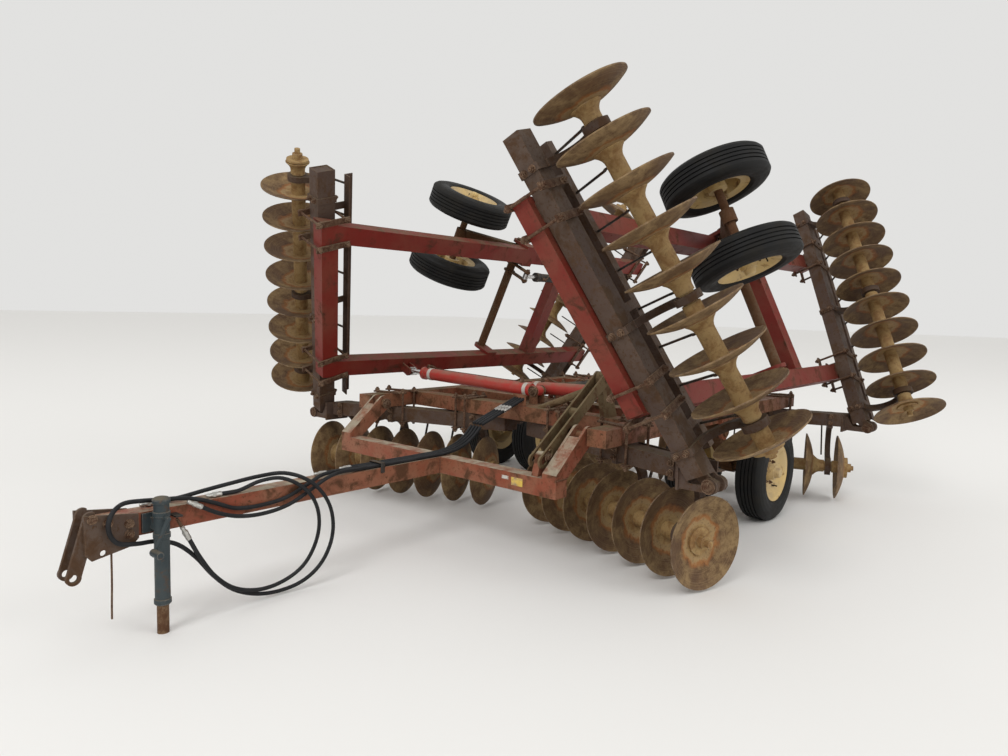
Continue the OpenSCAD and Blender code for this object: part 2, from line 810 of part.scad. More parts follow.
module wing_rail(u, y0, y1) {
    box([u - tube_w / 2, y0, tube_bottom_w], [u + tube_w / 2, y1, tube_top_w]);
}

module wing_frame(side) {
    rail_back = shift_of(true) + beam_w / 2;
    tube_in_u = wing_inner_u - tube_w / 2 - end_proud;
    tube_out_u = wing_outer_u + tube_w / 2 + end_proud;
    inner_out = wing_inner_u + tube_w / 2;
    outer_in = wing_outer_u - tube_w / 2;
    color(RED)
        station(true, side) {
            gang_line(false)
                translate([0, 0, gang_drop + beam_h + saddle_t])
                    linear_extrude(height = tube_h)
                        polygon([
                            [along(false, tube_in_u, front_tube_p), front_tube_p],
                            [along(false, tube_out_u, front_tube_p), front_tube_p],
                            [along(false, tube_out_u, front_tube_p + tube_w), front_tube_p + tube_w],
                            [along(false, tube_in_u, front_tube_p + tube_w), front_tube_p + tube_w]
                        ]);
            for (u = [wing_inner_u, wing_outer_u])
                wing_rail(u, line_y(false, u, front_tube_p + tube_w / 2), line_y(true, u, rail_back));
            box([inner_out, wing_rear_tube_y, tube_bottom_w], [outer_in, wing_rear_tube_y + tube_w, tube_top_w]);
            for (face = [inner_out, outer_in - bearing_plate_t, wing_outer_u + tube_w / 2])
                shaft_plate(face, tube_top_w, wing_shaft_y, wing_shaft_w);
            y_ears(fold_lug_u, fold_y_of(side), fold_lug_w, tube_top_w, false);
            for (s = [-1, 1])
                side_plate(wing_lift_u + (s > 0 ? eye_half : -eye_half - lift_ear_t), wing_lift_u + (s > 0 ? eye_half + lift_ear_t : -eye_half)) {
                    translate([wing_lift_base_y, wing_lift_base_w]) circle(r = lift_ear_r);
                    translate([wing_lift_base_y - lift_ear_foot, tube_top_w]) square([2 * lift_ear_foot, wing_lift_base_w - tube_top_w]);
                }
            x_pin(wing_lift_u - lift_pin_half, wing_lift_u + lift_pin_half, wing_lift_base_y, wing_lift_base_w, lift_pin_r);
        }
}

// Rockshafts

arm_box_w = 88;
arm_box_h = 76;
lever_t = 14;
lever_in = eye_half + 2;
centre_lever_y = centre_shaft_y + 40;
centre_lever_z = centre_shaft_z + 238;
wing_lever_y = wing_shaft_y - 20;
wing_lever_w = wing_shaft_w + 210;

// Two lever plates on a shaft, with the pin that takes a lift rod's eye
module lever(x, shaft, eye) {
    for (x0 = [x - lever_in - lever_t, x + lever_in])
        side_plate(x0, x0 + lever_t) {
            link_outline(shaft, eye, 27);
            translate(shaft) circle(r = shaft_r + 16);
        }
    x_pin(x - lever_in - lever_t - 4, x + lever_in + lever_t + 4, eye[0], eye[1], lift_pin_r);
}

// Arm from a shaft to an axle, with the axle through its boss
module wheel_arm(x, shaft, axle, axle_x) {
    side_plate(x - arm_box_w / 2, x + arm_box_w / 2) {
        link_outline(shaft, axle, arm_box_h / 2);
        translate(shaft) circle(r = shaft_r + 14);
        translate(axle) circle(r = axle_r + 20);
    }
    x_pin(axle_x - pair_gap / 2 - 96, axle_x + pair_gap / 2 + 96, axle[0], axle[1], axle_r);
}

module rockshaft_centre() {
    shaft = [centre_shaft_y, centre_shaft_z];
    axle = [centre_axle_y, tyre_r];
    shaft_half = rail_outer_x + bearing_plate_t + 14;
    color(BROWN) {
        x_pin(-shaft_half, shaft_half, shaft[0], shaft[1], shaft_r);
        lever(0, shaft, [centre_lever_y, centre_lever_z]);
        for (side = [-1, 1])
            wheel_arm(side * rail_x, shaft, axle, side * rail_x);
    }
}

module rockshaft_wing(side) {
    shaft = [wing_shaft_y, wing_shaft_w];
    axle = [wing_axle_y, wing_axle_w];
    color(BROWN)
        station(true, side) {
            x_pin(wing_inner_u + tube_w / 2 - 12, wing_outer_u + tube_w / 2 + bearing_plate_t + 14, shaft[0], shaft[1], shaft_r);
            lever(wing_lift_u, shaft, [wing_lever_y, wing_lever_w]);
            wheel_arm(wing_outer_u, shaft, axle, wing_wheel_u);
        }
}

// Wheels

tread_half = 64;
groove_w = 8;
groove_depth = 10;
grooves = [39, 13, -13, -39];
bead_half = 72;

// Side wall from the bead to the shoulder: share of the wall's height, share of the tyre's half width
WALL = [[0, 0.66], [0.1, 0.69], [0.12, 0.84], [0.25, 0.96], [0.47, 1], [0.69, 0.96], [0.85, 0.88], [0.95, 0.76]];
wall_foot = rim_r + touch_gap;
function wall_points(s) = [for (row = WALL) [wall_foot + row[0] * (tyre_r - wall_foot), s * row[1] * tyre_w / 2]];

module tyre() {
    near_wall = wall_points(1);
    far_wall = wall_points(-1);
    last = len(WALL) - 1;
    tread = [for (g = grooves, edge = [[0, 1], [groove_depth, 1], [groove_depth, -1], [0, -1]])
        [tyre_r - edge[0], g + edge[1] * groove_w / 2]];
    rotate([0, 90, 0])
        rotate_extrude($fn = 96)
            polygon(concat(near_wall, [[tyre_r, tread_half]], tread, [[tyre_r, -tread_half]], [for (k = [last : -1 : 0]) far_wall[k]]));
}

hub_r = 62;
module rim() {
    well = rim_r - 34;
    lip = rim_r + 14;
    rotate([0, 90, 0])
        rotate_extrude($fn = 96)
            polygon([
                [axle_r + run_gap, -70], [hub_r, -70], [hub_r, 10], [well - 45, 22], [well - 8, 40], [well - 8, -bead_half + 6],
                [rim_r - 8, -bead_half], [lip, -bead_half - 10], [lip, -bead_half - 4], [rim_r, -bead_half + 2], [rim_r, -bead_half + 18],
                [well, -bead_half + 34], [well, bead_half - 34], [rim_r, bead_half - 18], [rim_r, bead_half - 2],
                [lip, bead_half + 4], [lip, bead_half + 10], [rim_r - 8, bead_half], [well - 8, bead_half - 24], [well - 45, 30],
                [hub_r, 20], [hub_r - 12, 74], [axle_r + run_gap, 74]
            ]);
}

// Places one side's pair, with the dished face outwards on both wheels
module wheel_pair(wing, side) {
    if (wing)
        station(true, side)
            for (s = [-1, 1])
                translate([wing_wheel_u + s * pair_gap / 2, wing_axle_y, wing_axle_w]) mirror([s < 0 ? 1 : 0, 0, 0]) children();
    else
        for (s = [-1, 1])
            translate([side * rail_x + s * pair_gap / 2, centre_axle_y, tyre_r]) mirror([s < 0 ? 1 : 0, 0, 0]) children();
}

module tyres(wing, side) {
    color("black") wheel_pair(wing, side) tyre();
}

module rims(wing, side) {
    color("khaki") wheel_pair(wing, side) rim();
}

// Cylinders, drawn along X from the base pin, the rod's eye at the far end

gland_len = 30;
module barrel(length, r, rod_r, pin_r, half) {
    difference() {
        union() {
            y_pin(-half, half, 0, 0, r * 0.8);
            box([0, -half * 0.8, -r * 0.7], [r + weld, half * 0.8, r * 0.7]);
            x_pin(r, length - gland_len, 0, 0, r);
            x_pin(length - gland_len, length, 0, 0, r + 5);
        }
        y_pin(-half - 1, half + 1, 0, 0, pin_r + run_gap);
        x_pin(pin_r + 12, length + 1, 0, 0, rod_r + run_gap);
    }
}

module cylinder_rod(reach, start, rod_r, half, eye_r, bore_r) {
    difference() {
        union() {
            x_pin(start, reach - eye_r + 6, 0, 0, rod_r);
            y_pin(-half, half, reach, 0, eye_r);
        }
        y_pin(-half - 1, half + 1, reach, 0, bore_r);
    }
}

// Folded end of the fold linkage, in X and Z on the left side
fold_lug = [
    hinge_x + fold_lug_u * cos(fold_angle) - fold_lug_w * sin(fold_angle),
    hinge_z + fold_lug_u * sin(fold_angle) + fold_lug_w * cos(fold_angle)
];
fold_run = [fold_lug[0] + fold_base_x, fold_lug[1] - fold_base_z];
fold_reach = norm(fold_run);
fold_tilt = atan2(fold_run[1], fold_run[0]);
fold_barrel_len = fold_reach - 150;

module fold_place(side) {
    mirror([side == RIGHT ? 1 : 0, 0, 0])
        translate([-fold_base_x, fold_y_of(side), fold_base_z])
            rotate([0, -fold_tilt, 0])
                children();
}

module fold_barrel(side) {
    color("firebrick")
        fold_place(side)
            barrel(fold_barrel_len, fold_r, fold_rod_r, fold_pin_r, eye_half);
}

module fold_rod(side) {
    color("silver")
        fold_place(side)
            cylinder_rod(fold_reach, fold_pin_r + 20, fold_rod_r, eye_half, 34, fold_pin_r);
}

// A lift cylinder lies along Y, from its base pin to the lever's pin
module lift_place(x, base, eye) {
    run = eye - base;
    translate([x, base[0], base[1]])
        rotate([atan2(run[1], run[0]), 0, 0])
            rotate([0, 0, 90])
                children();
}

centre_lift = [[lift_base_y, lift_base_z], [centre_lever_y, centre_lever_z]];
wing_lift = [[wing_lift_base_y, wing_lift_base_w], [wing_lever_y, wing_lever_w]];
lift_barrel_cut = 130;
lift_room = 120;

module lift_barrel(place) {
    reach = norm(place[1] - place[0]);
    barrel(reach - lift_barrel_cut, lift_r, lift_rod_r, lift_pin_r, eye_half - 3);
}

module lift_rod(place) {
    reach = norm(place[1] - place[0]);
    cylinder_rod(reach, lift_pin_r + lift_room, lift_rod_r, eye_half - 4, 26, lift_pin_r + 6);
}

module lift_barrel_centre() {
    color("dimgray") lift_place(0, centre_lift[0], centre_lift[1]) lift_barrel(centre_lift);
}
module lift_rod_centre() {
    color("silver") lift_place(0, centre_lift[0], centre_lift[1]) lift_rod(centre_lift);
}
module lift_barrel_wing(side) {
    color("dimgray") station(true, side) lift_place(wing_lift_u, wing_lift[0], wing_lift[1]) lift_barrel(wing_lift);
}
module lift_rod_wing(side) {
    color("silver") station(true, side) lift_place(wing_lift_u, wing_lift[0], wing_lift[1]) lift_rod(wing_lift);
}

// Hoses. Each is a round tube swept along its route's own points, with its rings square to the route.
hose_r = 10;
hose_sides = 10;
coupling_r = 12;
coupling_len = 70;
function hose_dir(route, i) = let (run = route[min(i + 1, len(route) - 1)] - route[max(i - 1, 0)]) run / norm(run);
function square_to(side, dir) = let (s = side - dir * (side * dir)) s / norm(s);
function ring_sides(route, side, i = 0) = i == len(route) ? [] :
    let (s = square_to(side, hose_dir(route, i))) concat([s], ring_sides(route, s, i + 1));

module hose(route) {
    last = len(route) - 1;
    sides = ring_sides(route, [1, 0, 0.2]);
    points = [for (i = [0 : last]) let (d = hose_dir(route, i), s = sides[i], t = cross(d, s))
        for (k = [0 : hose_sides - 1]) let (a = 360 * k / hose_sides) route[i] + hose_r * (cos(a) * s + sin(a) * t)];
    walls = [for (i = [0 : last - 1], k = [0 : hose_sides - 1]) let (a = i * hose_sides, m = (k + 1) % hose_sides)
        each [[a + k, a + hose_sides + k, a + hose_sides + m], [a + k, a + hose_sides + m, a + m]]];
    caps = [[for (k = [0 : hose_sides - 1]) k], [for (k = [hose_sides - 1 : -1 : 0]) last * hose_sides + k]];
    color(STEEL) polyhedron(points, concat(caps, walls));
}

// Hose routes, from below the front cross tube over the tongue and round the loops beside it
LONG_HOSE = [
    [52, 330, 690], [44, 270, 630], [32, 190, 582], [20, 80, 553], [12, -80, 545.5], [12, -350, 545.5],
    [14, -620, 546], [30, -780, 557], [57, -880, 555], [64, -960, 526], [64, -1090, 478], [63, -1230, 464],
    [64, -1360, 474], [64, -1450, 512], [61, -1530, 545], [44, -1610, 564], [32, -1700, 571],
    [36, -1790, 582], [50, -1860, 588], [68, -1902, 577], [82, -1933, 546], [90, -1944, 504],
    [90, -1930, 458], [86, -1896, 426], [78, -1820, 409], [66, -1735, 398], [74, -1650, 366],
    [84, -1570, 290], [86, -1490, 185], [88, -1390, 90], [96, -1270, 36], [110, -1140, 24],
    [122, -1015, 50], [126, -915, 120], [126, -855, 235], [124, -855, 365], [120, -910, 480],
    [102, -1000, 565], [60, -1100, 604], [18, -1210, 598], [-4, -1340, 582], [-14, -1480, 566],
    [-20, -1600, 551], [-22, -1700, 549]
];
SIDE_HOSE = [
    [78, 330, 690], [70, 270, 630], [60, 190, 582], [48, 80, 553], [36, -80, 545.5], [36, -350, 545.5],
    [40, -620, 548], [60, -750, 556], [80, -850, 545], [88, -960, 500], [88, -1090, 446], [88, -1230, 428],
    [88, -1360, 440], [86, -1460, 474], [78, -1540, 518]
];
LOOP_HOSE = [
    [104, -1612, 392], [106, -1560, 290], [108, -1490, 185], [109, -1390, 100], [109, -1260, 60],
    [107, -1130, 68], [105, -1020, 115], [103, -950, 200], [107, -922, 310], [113, -945, 425],
    [113, -1015, 520], [80, -1120, 584], [44, -1220, 580], [32, -1330, 548.5], [28, -1420, 548]
];
SHORT_HOSE_A = [
    [0, 330, 690], [-6, 270, 630], [-14, 190, 582], [-24, 80, 553], [-36, -80, 545.5], [-36, -350, 545.5],
    [-36, -620, 547.5]
];
SHORT_HOSE_B = [
    [26, 330, 690], [19, 270, 630], [9, 190, 582], [-2, 80, 553], [-12, -80, 545.5], [-12, -350, 545.5],
    [-12, -600, 545.5], [-12, -800, 547.5]
];

// Quick couplings, in line with the ends of the hoses
module coupling(route, at_end) {
    i = at_end ? len(route) - 1 : 0;
    dir = at_end ? hose_dir(route, i) : -hose_dir(route, i);
    rod(route[i], route[i] + dir * coupling_len, coupling_r);
}

module couplings() {
    color("silver") {
        for (route = [LONG_HOSE, SIDE_HOSE, LOOP_HOSE, SHORT_HOSE_A, SHORT_HOSE_B])
            coupling(route, true);
        coupling(LOOP_HOSE, false);
    }
}

// The two short hoses that lie on the tongue, the clip over them and the holder of the looped hose's pipe
clip_y = -455;
clip_z = 560;
clip_t = 4;
clip_w = 30;
holder_y = -1674;
holder_w = 34;
holder_z = 500;
pipe_r = 7;
module tongue_hoses() {
    color(STEEL) {
        hose(SHORT_HOSE_A);
        hose(SHORT_HOSE_B);
        cross_plate(clip_y - clip_w / 2, clip_y + clip_w / 2)
            difference() {
                translate([-bar_tube / 2 - clip_t, bar_top - 35]) square([bar_tube + 2 * clip_t, clip_z + clip_t - bar_top + 35]);
                translate([-bar_tube / 2, bar_top - 36]) square([bar_tube, clip_z - bar_top + 36]);
            }
        box([bar_tube / 2, holder_y, holder_z], [bar_tube / 2 + 66, holder_y + holder_w, holder_z + 8]);
        top = LOOP_HOSE[0] - hose_dir(LOOP_HOSE, 0) * coupling_len;
        rod(top, top - hose_dir(LOOP_HOSE, 0) * 44, pipe_r);
    }
}

// Hoses on the frame, from a bulkhead plate on the front cross tube down to the drawbar's hoses
bulkhead = [[40, front_tube_y + 2, frame_top], [150, front_tube_y + 12, frame_top + 80]];
frame_hose_x = [1, 27, 53, 79];
module frame_hoses() {
    color(STEEL) {
        box(bulkhead[0], bulkhead[1]);
        for (k = [0 : 3]) {
            low = [frame_hose_x[k], 344, 704];
            high = [57 + 25 * k, front_tube_y + 6, frame_top + 50];
            rod(low, high, hose_r);
            rod(low + (high - low) * 0.5, low + (high - low) * 0.68, coupling_r);
        }
    }
}

// The whole machine moves so that the origin lies under the middle of its length
module centred() {
    translate([0, -origin_y, 0]) children();
}

centred() main_frame();
centred() centre_front_beams();
centred() centre_rear_beams();
centred() hangers(false, 0);  // centre_hangers
centred() scrapers(false, 0);  // centre_scrapers
centred() level_mast();
centred() tongue();
centred() cross_tube();
centred() hitch();
centred() jack_tube();
centred() jack_leg();
centred() level_link();
centred() wing_frame(LEFT);  // wing_frame_left
centred() wing_beams(LEFT);  // wing_beams_left
centred() hangers(true, LEFT);  // wing_hangers_left
centred() scrapers(true, LEFT);  // wing_scrapers_left
centred() wing_frame(RIGHT);  // wing_frame_right
centred() wing_beams(RIGHT);  // wing_beams_right
centred() hangers(true, RIGHT);  // wing_hangers_right
centred() scrapers(true, RIGHT);  // wing_scrapers_right
centred() gang(GANGS[0]);  // front_gang_left
centred() gang(GANGS[1]);  // front_gang_right
centred() gang(GANGS[2]);  // rear_gang_left
centred() gang(GANGS[3]);  // rear_gang_right
centred() gang(GANGS[4]);  // wing_front_gang_left
centred() gang(GANGS[5]);  // wing_front_gang_right
centred() gang(GANGS[6]);  // wing_rear_gang_left
centred() gang(GANGS[7]);  // wing_rear_gang_right
centred() rockshaft_centre();
centred() rockshaft_wing(LEFT);  // rockshaft_left
centred() rockshaft_wing(RIGHT);  // rockshaft_right
centred() tyres(false, LEFT);  // tyres_centre_left
centred() tyres(false, RIGHT);  // tyres_centre_right
centred() tyres(true, LEFT);  // tyres_wing_left
centred() tyres(true, RIGHT);  // tyres_wing_right
centred() rims(false, LEFT);  // rims_centre_left
centred() rims(false, RIGHT);  // rims_centre_right
centred() rims(true, LEFT);  // rims_wing_left
centred() rims(true, RIGHT);  // rims_wing_right
centred() fold_barrel(LEFT);  // fold_barrel_left
centred() fold_barrel(RIGHT);  // fold_barrel_right
centred() fold_rod(LEFT);  // fold_rod_left
centred() fold_rod(RIGHT);  // fold_rod_right
centred() lift_barrel_centre();
centred() lift_barrel_wing(LEFT);  // lift_barrel_left
centred() lift_barrel_wing(RIGHT);  // lift_barrel_right
centred() lift_rod_centre();
centred() lift_rod_wing(LEFT);  // lift_rod_left
centred() lift_rod_wing(RIGHT);  // lift_rod_right
centred() hose(LONG_HOSE);  // hose_long
centred() hose(SIDE_HOSE);  // hose_side
centred() hose(LOOP_HOSE);  // hose_loop
centred() couplings();
centred() tongue_hoses();
centred() frame_hoses();
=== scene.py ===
# %% [markdown]
# # A tandem disc harrow, parked with its wings folded
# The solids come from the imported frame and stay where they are. This lesson dresses them: paint that has
# faded and rusted, dusty rubber, hydraulic hoses, and the small hardware that makes a farm machine look real.

# %% Load the frame
import json
from math import atan2, cos, radians, sin, tan

import bmesh
import bpy
from mathutils import Matrix, Vector


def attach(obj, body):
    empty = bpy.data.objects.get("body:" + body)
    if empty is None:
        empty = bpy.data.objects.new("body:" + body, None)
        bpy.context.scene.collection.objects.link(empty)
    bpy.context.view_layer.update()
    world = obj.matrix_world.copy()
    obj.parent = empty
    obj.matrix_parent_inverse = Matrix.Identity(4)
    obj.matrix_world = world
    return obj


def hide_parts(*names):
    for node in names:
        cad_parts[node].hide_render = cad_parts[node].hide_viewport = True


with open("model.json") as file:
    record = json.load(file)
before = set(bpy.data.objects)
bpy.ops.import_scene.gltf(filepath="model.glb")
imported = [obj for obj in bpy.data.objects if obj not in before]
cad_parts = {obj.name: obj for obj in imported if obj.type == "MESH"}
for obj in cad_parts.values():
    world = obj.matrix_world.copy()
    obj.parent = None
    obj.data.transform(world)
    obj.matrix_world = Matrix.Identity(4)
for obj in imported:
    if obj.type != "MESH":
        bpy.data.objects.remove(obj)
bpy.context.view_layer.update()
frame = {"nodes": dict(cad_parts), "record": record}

# %% [markdown]
# ## Places on the machine
# Many pieces sit on lines that slope: the rows of discs are swept, and each wing stands folded about a
# hinge. It is easiest to write a place as the maker would, out from the hinge, back and up, and let a
# matrix carry it to the world. The same few numbers as in the solids are repeated here, in metres.

# %% Sizes and places, in metres, from the centre plane, the front of the crosspiece and the ground
LEFT, RIGHT = 1, -1
SIDES = {"left": LEFT, "right": RIGHT}
FOLD = radians(115.3)
HINGE_X, HINGE_Z = 1.680, 0.595
ORIGIN_Y = 0.999882
FRAME_TOP, TUBE_H, TUBE_W = 0.800, 0.100, 0.127
BEAM_W, BEAM_H = 0.130, 0.100
# Middle of a rail of the centre frame, and of a wing's inner and outer rail out from the hinge
RAIL_X = 1.015
WING_RAILS = (0.513, 1.550)
# The drawbar's pivot and the centre axle as (back, up), and the levelling link's place beside the centre
DRAWBAR_PIVOT, CENTRE_AXLE = (0.300, 0.750), (2.050, 0.345)
LINK_X = 0.775
# A wing's wheel pair as (out, back, up) from the hinge
WING_WHEEL = (1.530, 1.410, -0.195)
# Base pins of the fold cylinders, and both pins of the lift cylinders as (back, up)
FOLD_PIN_X, FOLD_PIN_Z = 0.100, 0.890
FOLD_PIN_Y = {LEFT: 1.030, RIGHT: 0.880}
LIFT_BASE, LIFT_EYE = (1.220, 0.870), (1.790, 0.878)
WING_LIFT_U = 1.390
WING_LIFT_BASE, WING_LIFT_EYE = (2.462, 0.270), (1.880, 0.260)

# %% Matrices for the wings and the rows of discs
SWEEP = {"front": radians(-17.5), "rear": radians(20)}
ROW_Y = {"front": 0.385, "rear": 3.083}
GANG_AXIS_Z = -0.330
BEAM_MID = {"front": -0.037, "rear": 0.071}


def shift(x, y, z):
    return Matrix.Translation((x, y, z))


def mirrored(side):
    return Matrix.Diagonal((side, 1, 1, 1))


WORLD = shift(0, -ORIGIN_Y, 0)


def station(wing, side):
    """World matrix of a place written as (out from the hinge, back, up)."""
    turn = Matrix.Rotation(-FOLD, 4, "Y") if wing else Matrix.Identity(4)
    return WORLD @ mirrored(side) @ shift(HINGE_X, 0, HINGE_Z) @ turn


def row_line(row, wing, side):
    """World matrix of a place along a row of discs: along it, behind it, above its axis."""
    return station(wing, side) @ shift(0, ROW_Y[row], GANG_AXIS_Z) @ Matrix.Rotation(SWEEP[row], 4, "Z")


def along(row, out, behind=0.0):
    """Distance along a row at which a line behind it lies that far out from the hinge."""
    return (out + behind * sin(SWEEP[row])) / cos(SWEEP[row])


def facing(place, normal, spin=0.0):
    """Matrix that stands a piece drawn upright at a place, with its Z along the normal."""
    lay = Vector(normal).to_track_quat("Z", "Y").to_matrix().to_4x4()
    return Matrix.Translation(place) @ lay @ Matrix.Rotation(spin, 4, "Z")


print("left wing's hinge", (station(True, LEFT) @ Vector((0, 0, 0)))[:])

# %% [markdown]
# ## The camera
# The photograph was taken standing near the left wing, looking across the drawbar. Its place, turn and
# lens were worked out from the machine's own straight edges, so they are written as plain numbers. A
# camera looks along its own -Z, so its axes are built from the view direction and a small roll.

# %% Camera at the photograph's angle
TURN, PITCH, ROLL = 0.7114, 0.0939, 0.0275
CAMERA_X, CAMERA_Y, CAMERA_Z = 3.2484, -3.129, 1.4533
SENSOR_MM, FOCAL_PIXELS, PHOTO_PIXELS = 36, 734.26, 1008
ahead = Vector((-sin(TURN) * cos(PITCH), cos(TURN) * cos(PITCH), -sin(PITCH)))
across = Vector((cos(TURN), sin(TURN), 0))
upward = across.cross(ahead)
right_axis = across * cos(ROLL) + upward * sin(ROLL)
up_axis = upward * cos(ROLL) - across * sin(ROLL)
camera = bpy.data.objects.new("camera", bpy.data.cameras.new("camera"))
bpy.context.scene.collection.objects.link(camera)
axes = Matrix((right_axis, up_axis, -ahead)).transposed().to_4x4()
camera.matrix_world = shift(CAMERA_X, CAMERA_Y - ORIGIN_Y, CAMERA_Z) @ axes
camera.data.sensor_width = SENSOR_MM
camera.data.lens = FOCAL_PIXELS * SENSOR_MM / PHOTO_PIXELS
camera.data.clip_end = 400
bpy.context.scene.camera = camera
print("camera lens", round(camera.data.lens, 2), "mm")

# %% [markdown]
# ## Hydraulic hoses
# Five hoses run down from the frame, lie on the tongue, and loop beside it so that they can reach a tractor.
# A hose is a curve with a round bevel: the curve passes through the route's own points, and a Bezier handle
# of a third of the way between neighbours keeps the bends as round as a stiff hose makes them.

# %% Routes of the hoses, in metres
ROUTES = {
    "hose_long": [(0.052, 0.33, 0.69), (0.044, 0.27, 0.63), (0.032, 0.19, 0.582), (0.02, 0.08, 0.553),
        (0.012, -0.08, 0.5455), (0.012, -0.35, 0.5455), (0.014, -0.62, 0.546), (0.03, -0.78, 0.557),
        (0.057, -0.88, 0.555), (0.064, -0.96, 0.526), (0.064, -1.09, 0.478), (0.063, -1.23, 0.464),
        (0.064, -1.36, 0.474), (0.064, -1.45, 0.512), (0.061, -1.53, 0.545), (0.044, -1.61, 0.564),
        (0.032, -1.7, 0.571), (0.036, -1.79, 0.582), (0.05, -1.86, 0.588), (0.068, -1.902, 0.577),
        (0.082, -1.933, 0.546), (0.09, -1.944, 0.504), (0.09, -1.93, 0.458), (0.086, -1.896, 0.426),
        (0.078, -1.82, 0.409), (0.066, -1.735, 0.398), (0.074, -1.65, 0.366), (0.084, -1.57, 0.29),
        (0.086, -1.49, 0.185), (0.088, -1.39, 0.09), (0.096, -1.27, 0.036), (0.11, -1.14, 0.024),
        (0.122, -1.015, 0.05), (0.126, -0.915, 0.12), (0.126, -0.855, 0.235), (0.124, -0.855, 0.365),
        (0.12, -0.91, 0.48), (0.102, -1, 0.565), (0.06, -1.1, 0.604), (0.018, -1.21, 0.598),
        (-0.004, -1.34, 0.582), (-0.014, -1.48, 0.566), (-0.02, -1.6, 0.551), (-0.022, -1.7, 0.549)],
    "hose_side": [(0.078, 0.33, 0.69), (0.07, 0.27, 0.63), (0.06, 0.19, 0.582), (0.048, 0.08, 0.553),
        (0.036, -0.08, 0.5455), (0.036, -0.35, 0.5455), (0.04, -0.62, 0.548), (0.06, -0.75, 0.556),
        (0.08, -0.85, 0.545), (0.088, -0.96, 0.5), (0.088, -1.09, 0.446), (0.088, -1.23, 0.428),
        (0.088, -1.36, 0.44), (0.086, -1.46, 0.474), (0.078, -1.54, 0.518)],
    "hose_loop": [(0.104, -1.612, 0.392), (0.106, -1.56, 0.29), (0.108, -1.49, 0.185), (0.109, -1.39, 0.1),
        (0.109, -1.26, 0.06), (0.107, -1.13, 0.068), (0.105, -1.02, 0.115), (0.103, -0.95, 0.2),
        (0.107, -0.922, 0.31), (0.113, -0.945, 0.425), (0.113, -1.015, 0.52), (0.08, -1.12, 0.584),
        (0.044, -1.22, 0.58), (0.032, -1.33, 0.5485), (0.028, -1.42, 0.548)],
    "short_hose_a": [(0, 0.33, 0.69), (-0.006, 0.27, 0.63), (-0.014, 0.19, 0.582), (-0.024, 0.08, 0.553),
        (-0.036, -0.08, 0.5455), (-0.036, -0.35, 0.5455), (-0.036, -0.62, 0.5475)],
    "short_hose_b": [(0.026, 0.33, 0.69), (0.019, 0.27, 0.63), (0.009, 0.19, 0.582), (-0.002, 0.08, 0.553),
        (-0.012, -0.08, 0.5455), (-0.012, -0.35, 0.5455), (-0.012, -0.6, 0.5455), (-0.012, -0.8, 0.5475)],
}


def in_world(points):
    return [Vector(p) - Vector((0, ORIGIN_Y, 0)) for p in points]


def in_scene(name, data):
    obj = bpy.data.objects.new(name, data)
    bpy.context.scene.collection.objects.link(obj)
    return obj


def bezier(name, places, bevel, rings, steps, swell=None):
    """A round bar along places. Each handle reaches a third of the way to its neighbour."""
    data = bpy.data.curves.new(name, "CURVE")
    data.dimensions = "3D"
    data.bevel_depth = bevel
    data.bevel_resolution = rings
    data.resolution_u = steps
    data.use_fill_caps = True
    spline = data.splines.new("BEZIER")
    spline.bezier_points.add(len(places) - 1)
    for i, knot in enumerate(spline.bezier_points):
        before, here, after = places[max(i - 1, 0)], places[i], places[min(i + 1, len(places) - 1)]
        heading = (after - before).normalized()
        knot.co = here
        if swell:
            knot.radius = swell
        knot.handle_left_type = knot.handle_right_type = "FREE"
        knot.handle_left = here - heading * (here - before).length / 3
        knot.handle_right = here + heading * (after - here).length / 3
    return in_scene(name, data)


# %% The five hoses on the drawbar
# How each hose lies and its length. The bevel is 1 m, and each point's radius scales it to the hose's.
CORD_FACTS = {"hose_long": ("loose", 4.914), "hose_side": ("loose", 1.96), "hose_loop": ("hanging", 1.665),
              "short_hose_a": ("loose", 0.994), "short_hose_b": ("loose", 1.175)}
HOSE_D = 0.020
HOSES = {}
for name, (lay, length) in CORD_FACTS.items():
    hose = bezier(name + "_rubber", in_world(ROUTES[name]), 1.0, 3, 5, HOSE_D / 2)
    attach(hose, "drawbar")
    if name in frame["nodes"]:
        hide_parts(name)
    HOSES[name] = hose
    print(name, length, "m")

# %% [markdown]
# ## Tools for small hardware
# Bolts, caps and fittings are made the way one works by hand: a primitive is added, its faces are picked in
# edit mode by where they are or which way they face, and they are extruded, inset and scaled. A turned part,
# like a cap on a lathe, is one circle that is extruded ring by ring. Whatever repeats is made once, and each
# copy gets its own mesh and is carried to its place by a matrix.

# %% Modelling helpers
def unselect():
    if bpy.context.object and bpy.context.object.mode == "EDIT":
        bpy.ops.object.mode_set(mode="OBJECT")
    bpy.ops.object.select_all(action="DESELECT")


def start(kind, **settings):
    """Adds a primitive with nothing else selected, and opens it in edit mode."""
    unselect()
    getattr(bpy.ops.mesh, "primitive_" + kind + "_add")(**settings)
    bpy.ops.object.mode_set(mode="EDIT")
    return bpy.context.object


def more(kind, **settings):
    """Adds another primitive to the mesh that is being edited."""
    bpy.ops.mesh.select_all(action="DESELECT")
    getattr(bpy.ops.mesh, "primitive_" + kind + "_add")(**settings)


def pick(test):
    """Selects the faces whose middle and normal pass a test."""
    bpy.ops.mesh.select_mode(type="FACE")
    bpy.ops.mesh.select_all(action="DESELECT")
    mesh = bmesh.from_edit_mesh(bpy.context.object.data)
    for face in mesh.faces:
        face.select_set(test(face.calc_center_median(), face.normal))
    bmesh.update_edit_mesh(bpy.context.object.data)


def extrude(x, y, z):
    bpy.ops.mesh.extrude_region_move(TRANSFORM_OT_translate={"value": (x, y, z)})


def inset(width):
    bpy.ops.mesh.inset(thickness=width, depth=0)


